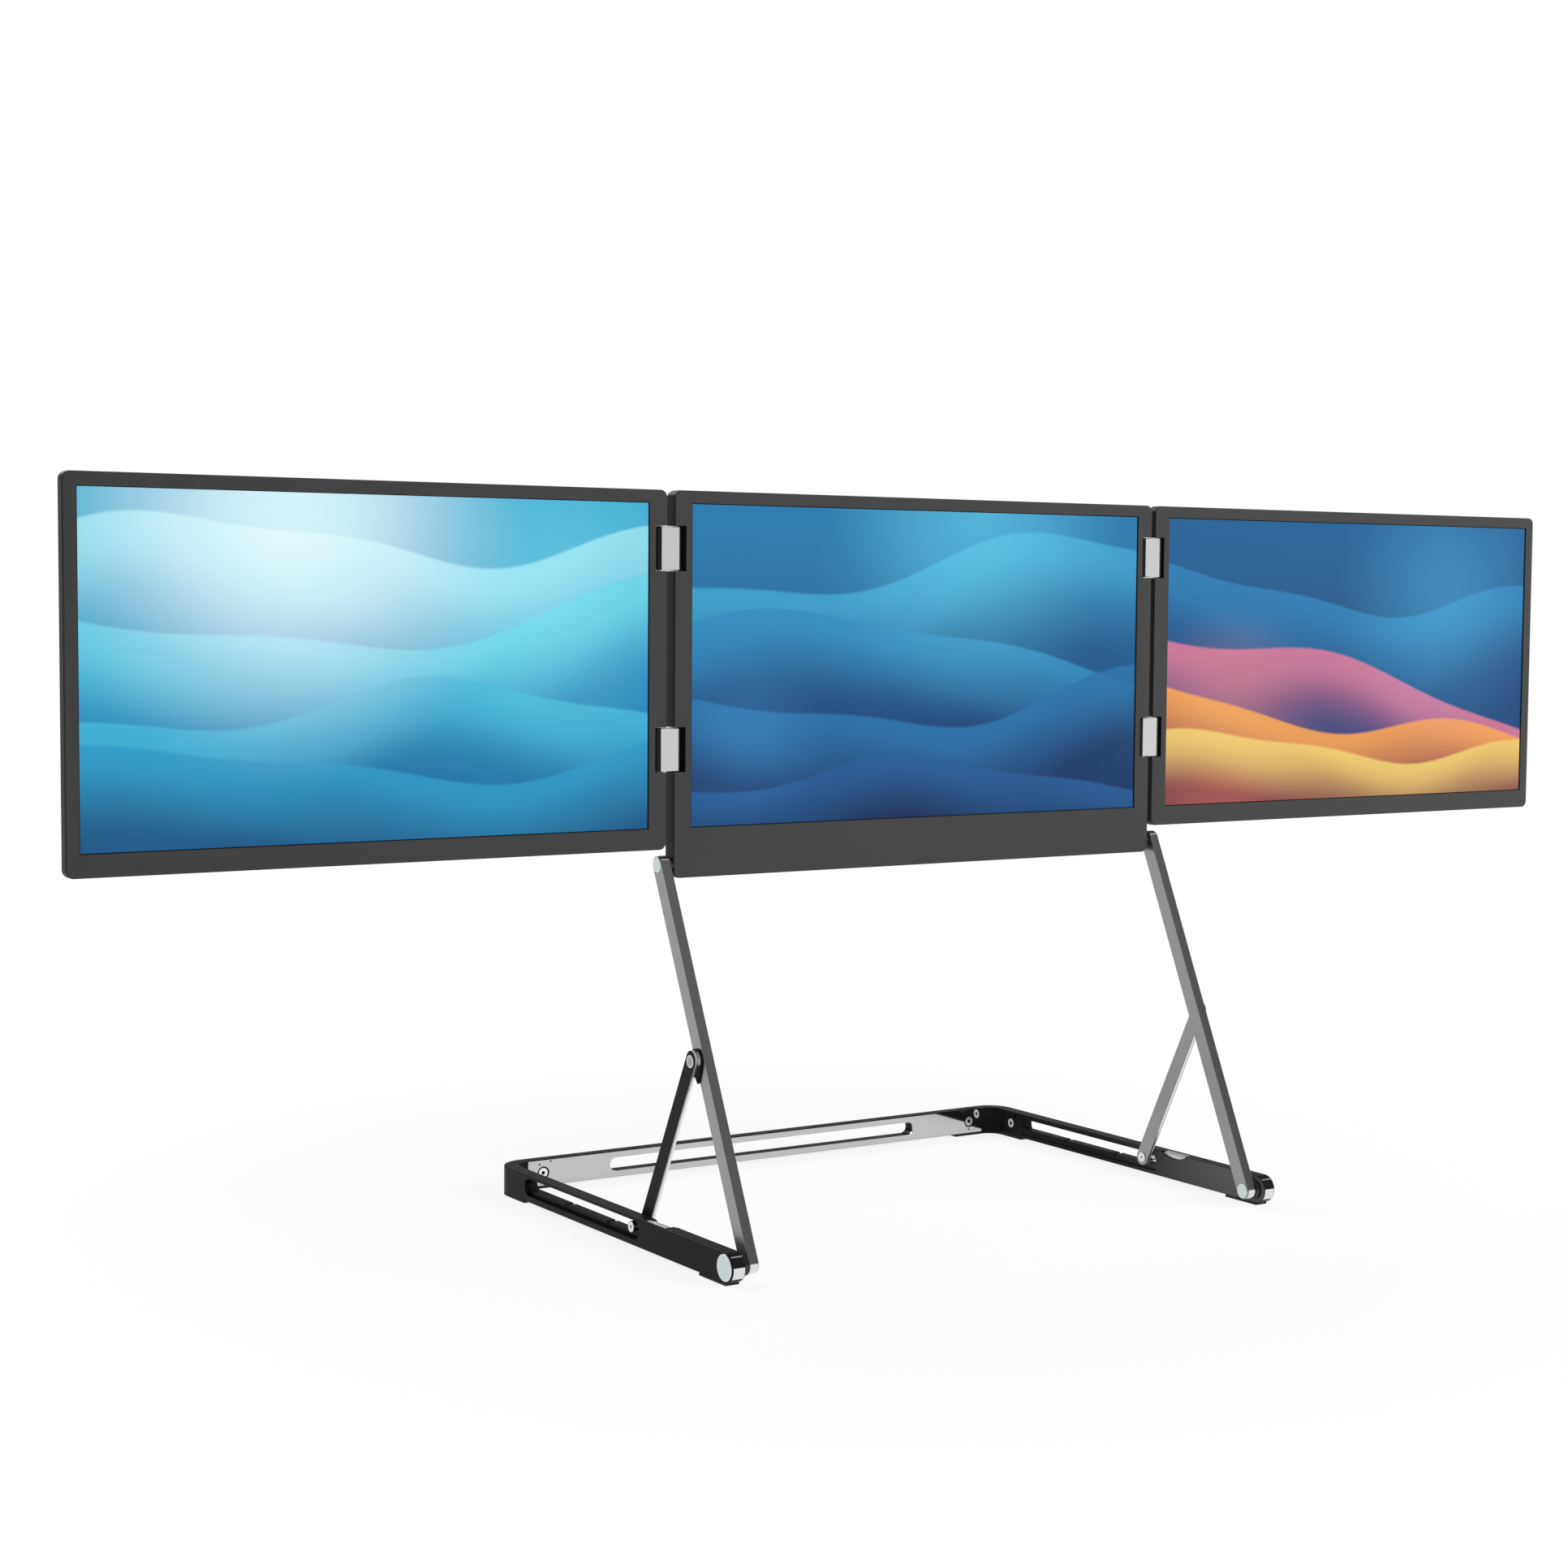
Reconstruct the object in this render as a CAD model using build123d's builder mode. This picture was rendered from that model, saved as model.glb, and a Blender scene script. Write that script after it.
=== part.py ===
"""Laptop screen extender: three hinged displays on a folding U-shaped stand.

Millimetres. +X is the user's right, +Y points to the back, +Z is up.
The origin is on the desk, midway across the stand and midway along its depth.
"""
import os
from dataclasses import dataclass
from math import acos, atan2, cos, degrees, radians, sin, sqrt

from build123d import *

os.makedirs("parts", exist_ok=True)

# ------------------------------------------------------------------ driving dimensions
# Displays and their casings
display_width = 344.2
display_height = 193.6
centre_side_border = 11.9
hinge_side_border = 12.2
free_side_border = 7.5
top_border = 7.4
centre_chin = 29.9
side_chin = 12.6
centre_depth = 10.5
side_depth = 8.0
side_setback = 1.5
screen_gap = 4.1
casing_corner = 4.5
casing_back_round = 1.2
bezel_thickness = 1.8
bezel_round = 0.9
lip_thickness = 0.9
lip_overlap = 2.0
cover_wall = 1.6
cover_back = 1.4
assembly_gap = 0.2
display_thickness = 1.6
backlight_thickness = 2.0
backlight_margin = 1.0
backlight_emboss = 0.5
led_rail_height = 6.0

# Hinge links between the casings
link_height = 26.0
link_play = 0.5
link_end_radius = 3.7
link_round = 0.6
recess_depth = 8.0
hinge_pin_inset = 3.95
hinge_pin_setback = 5.3
hinge_pin_radius = 1.2
hinge_pin_reach = 6.0
upper_link_inset = 14.0
lower_link_inset = 34.0
recess_wall = 1.4
running_clearance = 0.05
bracket_height = 7.0
bracket_wall = 0.7
bracket_leaf = 1.2
bracket_leaf_reach = 14.0
pin_hole_play = 0.3

# Casing screws and vents
cover_screw_radius = 1.0
cover_screw_head = 1.6
cover_screw_inset = 3.0
cover_screw_sink = 0.7
screw_boss_radius = 1.7
screw_socket_radius = 0.7
screw_socket_depth = 0.5
vent_width = 1.6
vent_height = 16.0
vent_pitch = 5.0
vent_count = 25
vent_drop = 26.0

# Electronics
board_thickness = 0.8
centre_board_width = 270.0
centre_board_height = 20.5
centre_board_rise = 5.4
side_board_width = 92.0
side_board_height = 34.0
side_board_rise = 60.0
chip_size = 12.0
chip_height = 1.0
chip_pitch = 36.0
centre_chip_count = 5
side_chip_count = 2
usb_width = 8.94
usb_height = 3.16
usb_length = 7.35
usb_shell = 0.35
usb_tongue = 0.7
usb_pitch = 18.0
usb_count = 3
usb_offset = -60.0
video_width = 11.2
video_height = 3.2
video_length = 7.5
video_offset = -12.0
video_taper = 75.0
video_side_wall = 0.53
video_tongue_width = 5.6
button_width = 7.0
button_thickness = 2.6
button_proud = 0.5
button_flange = 0.8
button_flange_thickness = 0.8
button_stem = 2.0
button_stem_rise = 3.9
button_travel = 0.8
button_play = 0.15
button_pitch = 15.0
power_button_offset = 84.0
switch_size = 3.6

# Tilt hinge
tilt_setback = 4.5
tilt_rise = 8.15
tilt_pin_radius = 1.6
tilt_pin_depth = 22.0
hub_radius = 2.6
hub_length = 34.0
hub_flange_radius = 4.2
hub_leaf = 1.2
hub_leaf_height = 12.0
hub_leaf_gap = 8.0
hub_web = 2.0
arm_gap = 2.3
arm_face_clearance = 0.2

# Arms
arm_length = 242.75
arm_width = 10.7
arm_thickness = 6.6
arm_edge_round = 0.6
arm_cap_radius = 4.5
arm_cap_thickness = 1.1
cap_proud = 0.3
cap_round = 0.25

# Struts and the lugs that carry them
lug_along = 122.4
lug_behind = 4.5
lug_thickness = 1.1
lug_radius = 6.8
lug_shift = 2.0
lug_tail_radius = 0.9
lug_tail_length = 12.6
lug_tail_shift = 1.3
strut_gap = 0.1
strut_bar_thickness = 1.3
strut_liner_thickness = 1.3
strut_width = 10.65
strut_length = 120.0
strut_overhang = 1.3
strut_round = 0.3
strut_pin_radius = 3.8
strut_pin_depth = 1.9
strut_pin_end = 0.2
slide_pin_radius = 3.0
slide_head_radius = 3.5
slide_head_thickness = 2.2
slide_rivet_radius = 3.6
slide_rivet_thickness = 0.45
slide_socket_radius = 1.1
slide_socket_depth = 0.8
bar_gap = 0.4
slide_reach = 108.85

# Base
base_depth = 298.1
bar_thickness = 9.2
bar_height = 17.6
bar_round = 0.8
foot_height = 1.5
slot_rise = 2.0
slot_height = 7.0
slot_lead = 7.9
slot_end_wall = 0.95
notch_radius = 1.8
notch_first = 97.5
notch_second = 43.5
pocket_height = 11.5
pocket_drop = 1.0
pocket_depth = 3.0
groove_height = 1.5
groove_depth = 0.8
groove_rise = 2.6
corner_leg = 43.3
corner_side_leg = 42.1
corner_outer_radius = 18.0
corner_inner_radius = 10.5
lap_length = 20.0
corner_screw_inset = 12.0
corner_screw_radius = 1.5
corner_screw_head = 3.25
corner_head_thickness = 1.7
corner_socket_radius = 1.0
corner_socket_depth = 1.2
corner_head_play = 0.2
corner_screw_cover = 1.2
dowel_hole_radius = 1.2
dowel_hole_depth = 1.5
dowel_hole_inset = 6.2
dowel_hole_drop = 2.5
rear_slot_half = 124.7
rear_slot_height = 9.1
plate_thickness = 1.0
plate_margin = 0.4
rivet_radius = 0.7
rivet_depth = 1.6
rivet_outer_inset = 8.3
rivet_outer_edge = 3.0
rivet_inner_inset = 16.6
rivet_inner_edge = 1.5
rivet_lower_inset = 11.5
rivet_lower_edge = 3.0
front_foot_length = 28.0
foot_nose = 1.2
knuckle_cap_radius = 7.9
knuckle_cap_thickness = 1.2
pivot_pin_radius = 3.0
washer_radius = 6.2

# Release latches
latch_length = 22.0
latch_width = 5.7
latch_play = 0.2
latch_setback = 6.0
latch_inner_wall = 1.2
latch_high_edge = 0.1
latch_low_edge = 1.0
latch_flat = 3.0
latch_body = 6.2
latch_well_depth = 14.0
latch_travel = 1.5
latch_finger_width = 1.8
latch_finger_height = 2.6
latch_finger_reach = 5.6
latch_finger_drop = 3.4
tunnel_play = 0.4
scoop_length = 27.0
scoop_depth = 3.6
spring_coil_radius = 1.5
spring_wire_radius = 0.3
spring_turns = 5

# ------------------------------------------------------------------ places worked out
centre_half = display_width / 2 + centre_side_border
arm_inner = centre_half + arm_gap
arm_outer = arm_inner + arm_thickness
lug_outer = arm_outer + lug_thickness
strut_inner = lug_outer + strut_gap
strut_seam = strut_inner + strut_liner_thickness
strut_outer = strut_seam + strut_bar_thickness
bar_inner = strut_outer + bar_gap
bar_outer = bar_inner + bar_thickness
base_back = base_depth / 2
rear_front = base_back - bar_thickness
knuckle_radius = bar_height / 2
bar_bottom = foot_height
bar_top = foot_height + bar_height
pivot_y = knuckle_radius - base_depth / 2
pivot_z = foot_height + knuckle_radius

# The arm, the strut and the base form a triangle, from which the arm's slope follows
lug_distance = sqrt(lug_along**2 + lug_behind**2)
slide_distance = sqrt(slide_reach**2 + slot_rise**2)
reach_squares = lug_distance**2 + slide_distance**2 - strut_length**2
lug_opening = acos(reach_squares / (2 * lug_distance * slide_distance))
lug_slope = lug_opening + atan2(slot_rise, slide_reach)
arm_slope = lug_slope + atan2(lug_behind, lug_along)
arm_angle = degrees(arm_slope)

tilt_y = pivot_y + arm_length * cos(arm_slope)
tilt_z = pivot_z + arm_length * sin(arm_slope)
lug_y = pivot_y + lug_distance * cos(lug_slope)
lug_z = pivot_z + lug_distance * sin(lug_slope)
slot_z = pivot_z + slot_rise
slide_y = pivot_y + slide_reach
strut_angle = degrees(atan2(lug_z - slot_z, lug_y - slide_y))

rear_joint = bar_outer - corner_leg
joint_y = base_back - corner_side_leg
slot_front = slide_y - slide_pin_radius - slot_lead
slot_back = joint_y - slot_end_wall
slot_middle = (slot_front + slot_back) / 2
slot_length = slot_back - slot_front
lap_thickness = bar_thickness / 2
lap_end = joint_y + lap_length
plate_half = bar_inner - corner_inner_radius - plate_margin

centre_front = tilt_y - tilt_setback
centre_bottom = tilt_z - tilt_rise
display_bottom = centre_bottom + centre_chin
display_top = display_bottom + display_height
casing_top = display_top + top_border
side_inner = centre_half + screen_gap
side_outer = side_inner + hinge_side_border + display_width + free_side_border
side_bottom = display_bottom - side_chin
side_front = centre_front + side_setback
hinge_y = centre_front + hinge_pin_setback
upper_link_z = display_top - upper_link_inset - link_height / 2
lower_link_z = display_bottom + lower_link_inset + link_height / 2


def side_plane(x: float) -> Plane:
    """Plane across X, drawn in Y and Z and extruded towards +X."""
    return Plane(origin=(x, 0, 0), x_dir=(0, 1, 0), z_dir=(1, 0, 0))


def front_plane(y: float) -> Plane:
    """Plane across Y, drawn in X and Z and extruded towards the front, -Y."""
    return Plane(origin=(0, y, 0), x_dir=(1, 0, 0), z_dir=(0, -1, 0))


def leaning_plane(x: float, y: float, z: float, angle: float) -> Plane:
    """Plane across X whose own x axis rises from the +Y direction by angle."""
    rise = radians(angle)
    return Plane(origin=(x, y, z), x_dir=(0, cos(rise), sin(rise)), z_dir=(1, 0, 0))


sides = (("left", -1), ("right", 1))

# ------------------------------------------------------------------ base
well_back = slot_front - latch_setback
well_front = well_back - latch_length - 2 * latch_play
well_middle = (well_front + well_back) / 2
well_inner = bar_inner + latch_inner_wall
well_width = latch_width + 2 * latch_play
well_floor = bar_top - latch_well_depth
finger_top = bar_top - latch_finger_drop
finger_x = well_inner + well_width / 2

for side, sign in sides:
    with BuildPart() as side_bar:
        # A flat bar with a round knuckle at the front end
        with BuildSketch(side_plane(sign * bar_inner)):
            with Locations(((pivot_y + base_back) / 2, pivot_z)):
                Rectangle(base_back - pivot_y, bar_height)
            with Locations((pivot_y, pivot_z)):
                Circle(knuckle_radius)
        extrude(amount=sign * bar_thickness)
        fillet(side_bar.edges().filter_by(Axis.X, reverse=True), radius=bar_round)
        # Half-lap tongue that runs into the corner block, on the outer side
        with BuildSketch(Plane.XY.offset(bar_bottom)):
            with Locations((sign * (bar_inner + bar_outer) / 2, (lap_end + base_back) / 2)):
                Rectangle(2 * bar_thickness, base_back - lap_end)
            with Locations((sign * (bar_inner + lap_thickness / 2), joint_y + lap_length / 2)):
                Rectangle(lap_thickness, lap_length)
        extrude(amount=bar_height, mode=Mode.SUBTRACT)
        # Pocket in the outer face and the slot that guides the slide pin
        with BuildSketch(side_plane(sign * (bar_outer - pocket_depth))):
            with Locations((slot_middle, slot_z - pocket_drop)):
                SlotOverall(slot_length, pocket_height)
        extrude(amount=sign * pocket_depth, mode=Mode.SUBTRACT)
        with BuildSketch(side_plane(sign * bar_inner)):
            with Locations((slot_middle, slot_z)):
                SlotOverall(slot_length, slot_height)
            with Locations(
                (slot_front + notch_first, slot_z - slot_height / 2),
                (slot_front + notch_second, slot_z - slot_height / 2),
            ):
                Circle(notch_radius)
        extrude(amount=sign * bar_thickness, mode=Mode.SUBTRACT)
        # Shallow groove along the foot of the inner face
        with BuildSketch(side_plane(sign * bar_inner)):
            with Locations((slot_middle, bar_bottom + groove_rise + groove_height / 2)):
                SlotOverall(slot_length, groove_height)
        extrude(amount=sign * groove_depth, mode=Mode.SUBTRACT)
        # Well for the release latch, its finger's tunnel and the finger scoop
        with BuildSketch(Plane.XY.offset(bar_top)):
            with Locations((sign * finger_x, well_middle)):
                Rectangle(well_width, well_back - well_front)
        extrude(amount=-latch_well_depth, mode=Mode.SUBTRACT)
        with BuildSketch(side_plane(sign * finger_x)):
            with Locations(
                ((well_middle + slot_front + slot_height / 2) / 2,
                 finger_top - (latch_finger_height + latch_travel) / 2)
            ):
                Rectangle(
                    slot_front + slot_height / 2 - well_middle,
                    latch_finger_height + latch_travel + 2 * tunnel_play,
                )
        extrude(amount=latch_finger_width / 2 + tunnel_play, both=True, mode=Mode.SUBTRACT)
        with BuildSketch(side_plane(sign * bar_inner)):
            with BuildLine():
                ThreePointArc(
                    (well_middle - scoop_length / 2, bar_top),
                    (well_middle, bar_top - scoop_depth),
                    (well_middle + scoop_length / 2, bar_top),
                )
                Line(
                    (well_middle + scoop_length / 2, bar_top),
                    (well_middle - scoop_length / 2, bar_top),
                )
            make_face()
        extrude(amount=sign * (latch_inner_wall + latch_play), mode=Mode.SUBTRACT)
        # Bore for the arm's pivot pin, seat of the round cap and thread for the corner screw
        with BuildSketch(side_plane(sign * bar_inner)):
            with Locations((pivot_y, pivot_z)):
                Circle(pivot_pin_radius)
        extrude(amount=sign * bar_thickness, mode=Mode.SUBTRACT)
        with BuildSketch(side_plane(sign * bar_outer)):
            with Locations((pivot_y, pivot_z)):
                Circle(knuckle_cap_radius)
        extrude(amount=-sign * (knuckle_cap_thickness - cap_proud), mode=Mode.SUBTRACT)
        with BuildSketch(side_plane(sign * bar_inner)):
            with Locations((joint_y + corner_screw_inset, pivot_z)):
                Circle(corner_screw_radius)
        extrude(amount=sign * (bar_thickness - corner_screw_cover), mode=Mode.SUBTRACT)
    side_bar.part.label = f"{side}_side_bar"
    export_step(side_bar.part, f"parts/{side}_side_bar.step")

rear_core_front = rear_front + plate_thickness
rear_lap_back = rear_front + lap_thickness
rivet_places = [
    (sign * (plate_half - inset), height)
    for sign in (-1, 1)
    for inset, height in (
        (rivet_outer_inset, bar_top - rivet_outer_edge),
        (rivet_inner_inset, bar_top - rivet_inner_edge),
        (rivet_lower_inset, bar_bottom + rivet_lower_edge),
    )
]
rear_screw_x = rear_joint + corner_screw_inset

with BuildPart() as rear_bar:
    # Crossbar between the corner blocks, slotted end to end
    with BuildSketch(front_plane(base_back)):
        with Locations((0, pivot_z)):
            Rectangle(2 * rear_joint, bar_height)
    extrude(amount=base_back - rear_core_front)
    back_edges = rear_bar.edges().filter_by(Axis.X).group_by(Axis.Y)[-1]
    fillet(back_edges, radius=bar_round)
    # Half-lap tongues that run into the corner blocks, on the front side
    with BuildSketch(front_plane(rear_lap_back)):
        with Locations((0, pivot_z)):
            Rectangle(2 * (rear_joint + lap_length), bar_height)
    extrude(amount=rear_lap_back - rear_core_front)
    with BuildSketch(front_plane(base_back)):
        with Locations((0, pivot_z)):
            SlotOverall(2 * rear_slot_half, rear_slot_height)
    extrude(amount=bar_thickness, mode=Mode.SUBTRACT)
    with BuildSketch(front_plane(rear_core_front)):
        with Locations((-rear_screw_x, pivot_z), (rear_screw_x, pivot_z)):
            Circle(corner_screw_head + corner_head_play)
    extrude(amount=plate_thickness - corner_head_play - corner_head_thickness, mode=Mode.SUBTRACT)
    with BuildSketch(front_plane(base_back)):
        with Locations((-rear_screw_x, pivot_z), (rear_screw_x, pivot_z)):
            Circle(corner_screw_radius)
    extrude(amount=bar_thickness, mode=Mode.SUBTRACT)
    with BuildSketch(front_plane(rear_front)):
        with Locations(*rivet_places):
            Circle(rivet_radius)
    extrude(amount=-rivet_depth, mode=Mode.SUBTRACT)
rear_bar.part.label = "rear_bar"
export_step(rear_bar.part, "parts/rear_bar.step")

with BuildPart() as rear_bar_plate:
    # Polished strip on the crossbar's front face
    with BuildSketch(front_plane(rear_core_front)):
        with Locations((0, pivot_z)):
            Rectangle(2 * plate_half, bar_height - bar_round)
            SlotOverall(2 * rear_slot_half, rear_slot_height, mode=Mode.SUBTRACT)
        with Locations((-rear_screw_x, pivot_z), (rear_screw_x, pivot_z)):
            Circle(corner_screw_head + corner_head_play, mode=Mode.SUBTRACT)
        with Locations(*rivet_places):
            Circle(rivet_radius, mode=Mode.SUBTRACT)
    extrude(amount=plate_thickness)
rear_bar_plate.part.label = "rear_bar_plate"
export_step(rear_bar_plate.part, "parts/rear_bar_plate.step")

with BuildPart() as rear_plate_rivets:
    # Small rivets that hold the strip to the crossbar
    with BuildSketch(front_plane(rear_front + rivet_depth)):
        with Locations(*rivet_places):
            Circle(rivet_radius)
    extrude(amount=rivet_depth)
rear_plate_rivets.part.label = "rear_plate_rivets"
export_step(rear_plate_rivets.part, "parts/rear_plate_rivets.step")


def corner_outline(sign: int, reach: float) -> Sketch:
    """Plan of one corner of the base as a face, its legs carried on by reach."""
    leg_x = sign * (rear_joint - reach)
    leg_y = joint_y - reach
    with BuildSketch(mode=Mode.PRIVATE) as outline:
        with BuildLine():
            Polyline(
                (leg_x, base_back),
                (sign * bar_outer, base_back),
                (sign * bar_outer, leg_y),
                (sign * bar_inner, leg_y),
                (sign * bar_inner, rear_front),
                (leg_x, rear_front),
                close=True,
            )
        make_face()
        outer = outline.vertices().sort_by_distance((sign * bar_outer, base_back))[0]
        fillet(outer, radius=corner_outer_radius)
        inner = outline.vertices().sort_by_distance((sign * bar_inner, rear_front))[0]
        fillet(inner, radius=corner_inner_radius)
    return outline.sketch


for side, sign in sides:
    with BuildPart() as corner_block:
        # Rounded elbow that joins a side bar to the crossbar
        with BuildSketch(Plane.XY.offset(bar_bottom)):
            add(corner_outline(sign, lap_length))
        extrude(amount=bar_height)
        fillet(corner_block.edges().filter_by(Axis.Z, reverse=True), radius=bar_round)
        with BuildSketch(Plane.XY.offset(bar_bottom)):
            with Locations((sign * (bar_inner + bar_outer) / 2, joint_y - lap_length / 2)):
                Rectangle(2 * bar_thickness, lap_length)
            with Locations((sign * (rear_joint - lap_length / 2), (rear_front + base_back) / 2)):
                Rectangle(lap_length, 2 * bar_thickness)
        extrude(amount=bar_height, mode=Mode.SUBTRACT)
        # Half-lap rebates for the side bar's and the crossbar's tongues
        with BuildSketch(side_plane(sign * (bar_inner + lap_thickness))):
            with Locations((joint_y + lap_length / 2, pivot_z)):
                Rectangle(lap_length, bar_height)
        extrude(amount=sign * lap_thickness, mode=Mode.SUBTRACT)
        with BuildSketch(front_plane(rear_lap_back)):
            with Locations((sign * (rear_joint + lap_length / 2), pivot_z)):
                Rectangle(lap_length, bar_height)
        extrude(amount=lap_thickness, mode=Mode.SUBTRACT)
        with BuildSketch(front_plane(rear_core_front)):
            with Locations((sign * plate_half / 2, pivot_z)):
                Rectangle(plate_half, bar_height - bar_round)
        extrude(amount=plate_thickness, mode=Mode.SUBTRACT)
        # Screw seats: a sunk head on the side leg, a thread on the rear leg
        with BuildSketch(side_plane(sign * bar_inner)):
            with Locations((joint_y + corner_screw_inset, pivot_z)):
                Circle(corner_screw_head + corner_head_play)
        extrude(amount=sign * (corner_head_thickness + corner_head_play), mode=Mode.SUBTRACT)
        with BuildSketch(side_plane(sign * bar_inner)):
            with Locations((joint_y + corner_screw_inset, pivot_z)):
                Circle(corner_screw_radius)
        extrude(amount=sign * lap_thickness, mode=Mode.SUBTRACT)
        with BuildSketch(front_plane(base_back - corner_screw_cover)):
            with Locations((sign * rear_screw_x, pivot_z)):
                Circle(corner_screw_radius)
        extrude(amount=bar_thickness, mode=Mode.SUBTRACT)
        with BuildSketch(side_plane(sign * bar_inner)):
            with Locations((joint_y + dowel_hole_inset, bar_top - dowel_hole_drop)):
                Circle(dowel_hole_radius)
        extrude(amount=sign * dowel_hole_depth, mode=Mode.SUBTRACT)
    corner_block.part.label = f"{side}_corner_block"
    export_step(corner_block.part, f"parts/{side}_corner_block.step")

with BuildPart() as corner_screws:
    # Two screws at each corner, each with a round socket in its head
    for _, sign in sides:
        screw_y = joint_y + corner_screw_inset
        head_face = sign * (bar_inner + corner_head_play)
        with BuildSketch(side_plane(head_face)):
            with Locations((screw_y, pivot_z)):
                Circle(corner_screw_head)
        extrude(amount=sign * corner_head_thickness)
        with BuildSketch(side_plane(head_face)):
            with Locations((screw_y, pivot_z)):
                Circle(corner_screw_radius)
        extrude(amount=sign * (bar_thickness - corner_screw_cover - corner_head_play))
        with BuildSketch(side_plane(head_face)):
            with Locations((screw_y, pivot_z)):
                Circle(corner_socket_radius)
        extrude(amount=sign * corner_socket_depth, mode=Mode.SUBTRACT)
    with BuildSketch(front_plane(rear_front + corner_head_play)):
        with Locations((-rear_screw_x, pivot_z), (rear_screw_x, pivot_z)):
            Circle(corner_screw_head)
    extrude(amount=-corner_head_thickness)
    with BuildSketch(front_plane(rear_front + corner_head_play)):
        with Locations((-rear_screw_x, pivot_z), (rear_screw_x, pivot_z)):
            Circle(corner_screw_radius)
    extrude(amount=-(bar_thickness - corner_screw_cover - corner_head_play))
    with BuildSketch(front_plane(rear_front + corner_head_play)):
        with Locations((-rear_screw_x, pivot_z), (rear_screw_x, pivot_z)):
            Circle(corner_socket_radius)
    extrude(amount=-corner_socket_depth, mode=Mode.SUBTRACT)
corner_screws.part.label = "corner_screws"
export_step(corner_screws.part, "parts/corner_screws.step")

with BuildPart() as foot_pads:
    # Corner pads follow the corner blocks, front pads lie under the knuckles
    for _, sign in sides:
        with BuildSketch(Plane.XY):
            add(corner_outline(sign, 0))
        extrude(amount=foot_height)
        with BuildSketch(Plane.XY):
            with Locations(
                (sign * (bar_inner + bar_outer) / 2, pivot_y + (front_foot_length - foot_nose) / 2)
            ):
                Rectangle(bar_thickness, front_foot_length + foot_nose)
        extrude(amount=foot_height)
foot_pads.part.label = "foot_pads"
export_step(foot_pads.part, "parts/foot_pads.step")

with BuildPart() as knuckle_caps:
    # Round caps over the outer ends of the pivot pins
    for _, sign in sides:
        with BuildSketch(side_plane(sign * (bar_outer + cap_proud))):
            with Locations((pivot_y, pivot_z)):
                Circle(knuckle_cap_radius)
        extrude(amount=-sign * knuckle_cap_thickness)
    cap_rims = knuckle_caps.edges().group_by(Axis.X)
    fillet(cap_rims[0] + cap_rims[-1], radius=cap_round)
knuckle_caps.part.label = "knuckle_caps"
export_step(knuckle_caps.part, "parts/knuckle_caps.step")

pivot_pin_inner = arm_inner + arm_cap_thickness - cap_proud + arm_face_clearance
pivot_pin_outer = bar_outer + cap_proud - knuckle_cap_thickness
with BuildPart() as arm_pivot_pins:
    # Pins pressed into the side bars, on which the arms turn
    for _, sign in sides:
        with BuildSketch(side_plane(sign * pivot_pin_inner)):
            with Locations((pivot_y, pivot_z)):
                Circle(pivot_pin_radius)
        extrude(amount=sign * (pivot_pin_outer - pivot_pin_inner))
arm_pivot_pins.part.label = "arm_pivot_pins"
export_step(arm_pivot_pins.part, "parts/arm_pivot_pins.step")

with BuildPart() as knuckle_washers:
    # Spacers between each arm and its side bar
    for _, sign in sides:
        with BuildSketch(side_plane(sign * (arm_outer + strut_gap))):
            with Locations((pivot_y, pivot_z)):
                Circle(washer_radius)
                Circle(pivot_pin_radius, mode=Mode.SUBTRACT)
        extrude(amount=sign * (bar_inner - arm_outer - strut_gap))
knuckle_washers.part.label = "knuckle_washers"
export_step(knuckle_washers.part, "parts/knuckle_washers.step")

# ------------------------------------------------------------------ release latches
latch_top = bar_top - latch_high_edge
latch_low_top = bar_top - latch_low_edge
latch_bottom = latch_top - latch_body
latch_front = well_front + latch_play
latch_inner = well_inner + latch_play
latch_outer = latch_inner + latch_width

for side, sign in sides:
    with BuildPart() as latch:
        # Press button, flat on the outer side and sloping to the inner, and a finger into the slot
        with BuildSketch(front_plane(latch_front + latch_length)):
            with BuildLine():
                Polyline(
                    (sign * latch_inner, latch_bottom),
                    (sign * latch_outer, latch_bottom),
                    (sign * latch_outer, latch_top),
                    (sign * (latch_outer - latch_flat), latch_top),
                    (sign * latch_inner, latch_low_top),
                    close=True,
                )
            make_face()
        extrude(amount=latch_length)
        fillet(latch.edges().filter_by(Axis.X, reverse=True).group_by(Axis.Z)[-1], radius=bar_round)
        with BuildSketch(side_plane(sign * finger_x)):
            with Locations(
                ((well_middle + slot_front + latch_finger_reach) / 2,
                 finger_top - latch_finger_height / 2)
            ):
                Rectangle(slot_front + latch_finger_reach - well_middle, latch_finger_height)
        extrude(amount=latch_finger_width / 2, both=True)
    latch.part.label = f"{side}_latch"
    export_step(latch.part, f"parts/{side}_latch.step")

    with BuildPart() as latch_spring:
        # Coil spring that lifts the button
        spring_rise = latch_bottom - well_floor - 2 * spring_wire_radius
        with BuildLine() as coil:
            Helix(
                pitch=spring_rise / spring_turns,
                height=spring_rise,
                radius=spring_coil_radius,
                center=(sign * finger_x, well_middle, well_floor + spring_wire_radius),
            )
        with BuildSketch(Plane(origin=coil.line @ 0, z_dir=coil.line % 0)):
            Circle(spring_wire_radius)
        sweep(path=coil.line)
    latch_spring.part.label = f"{side}_latch_spring"
    export_step(latch_spring.part, f"parts/{side}_latch_spring.step")

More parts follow.
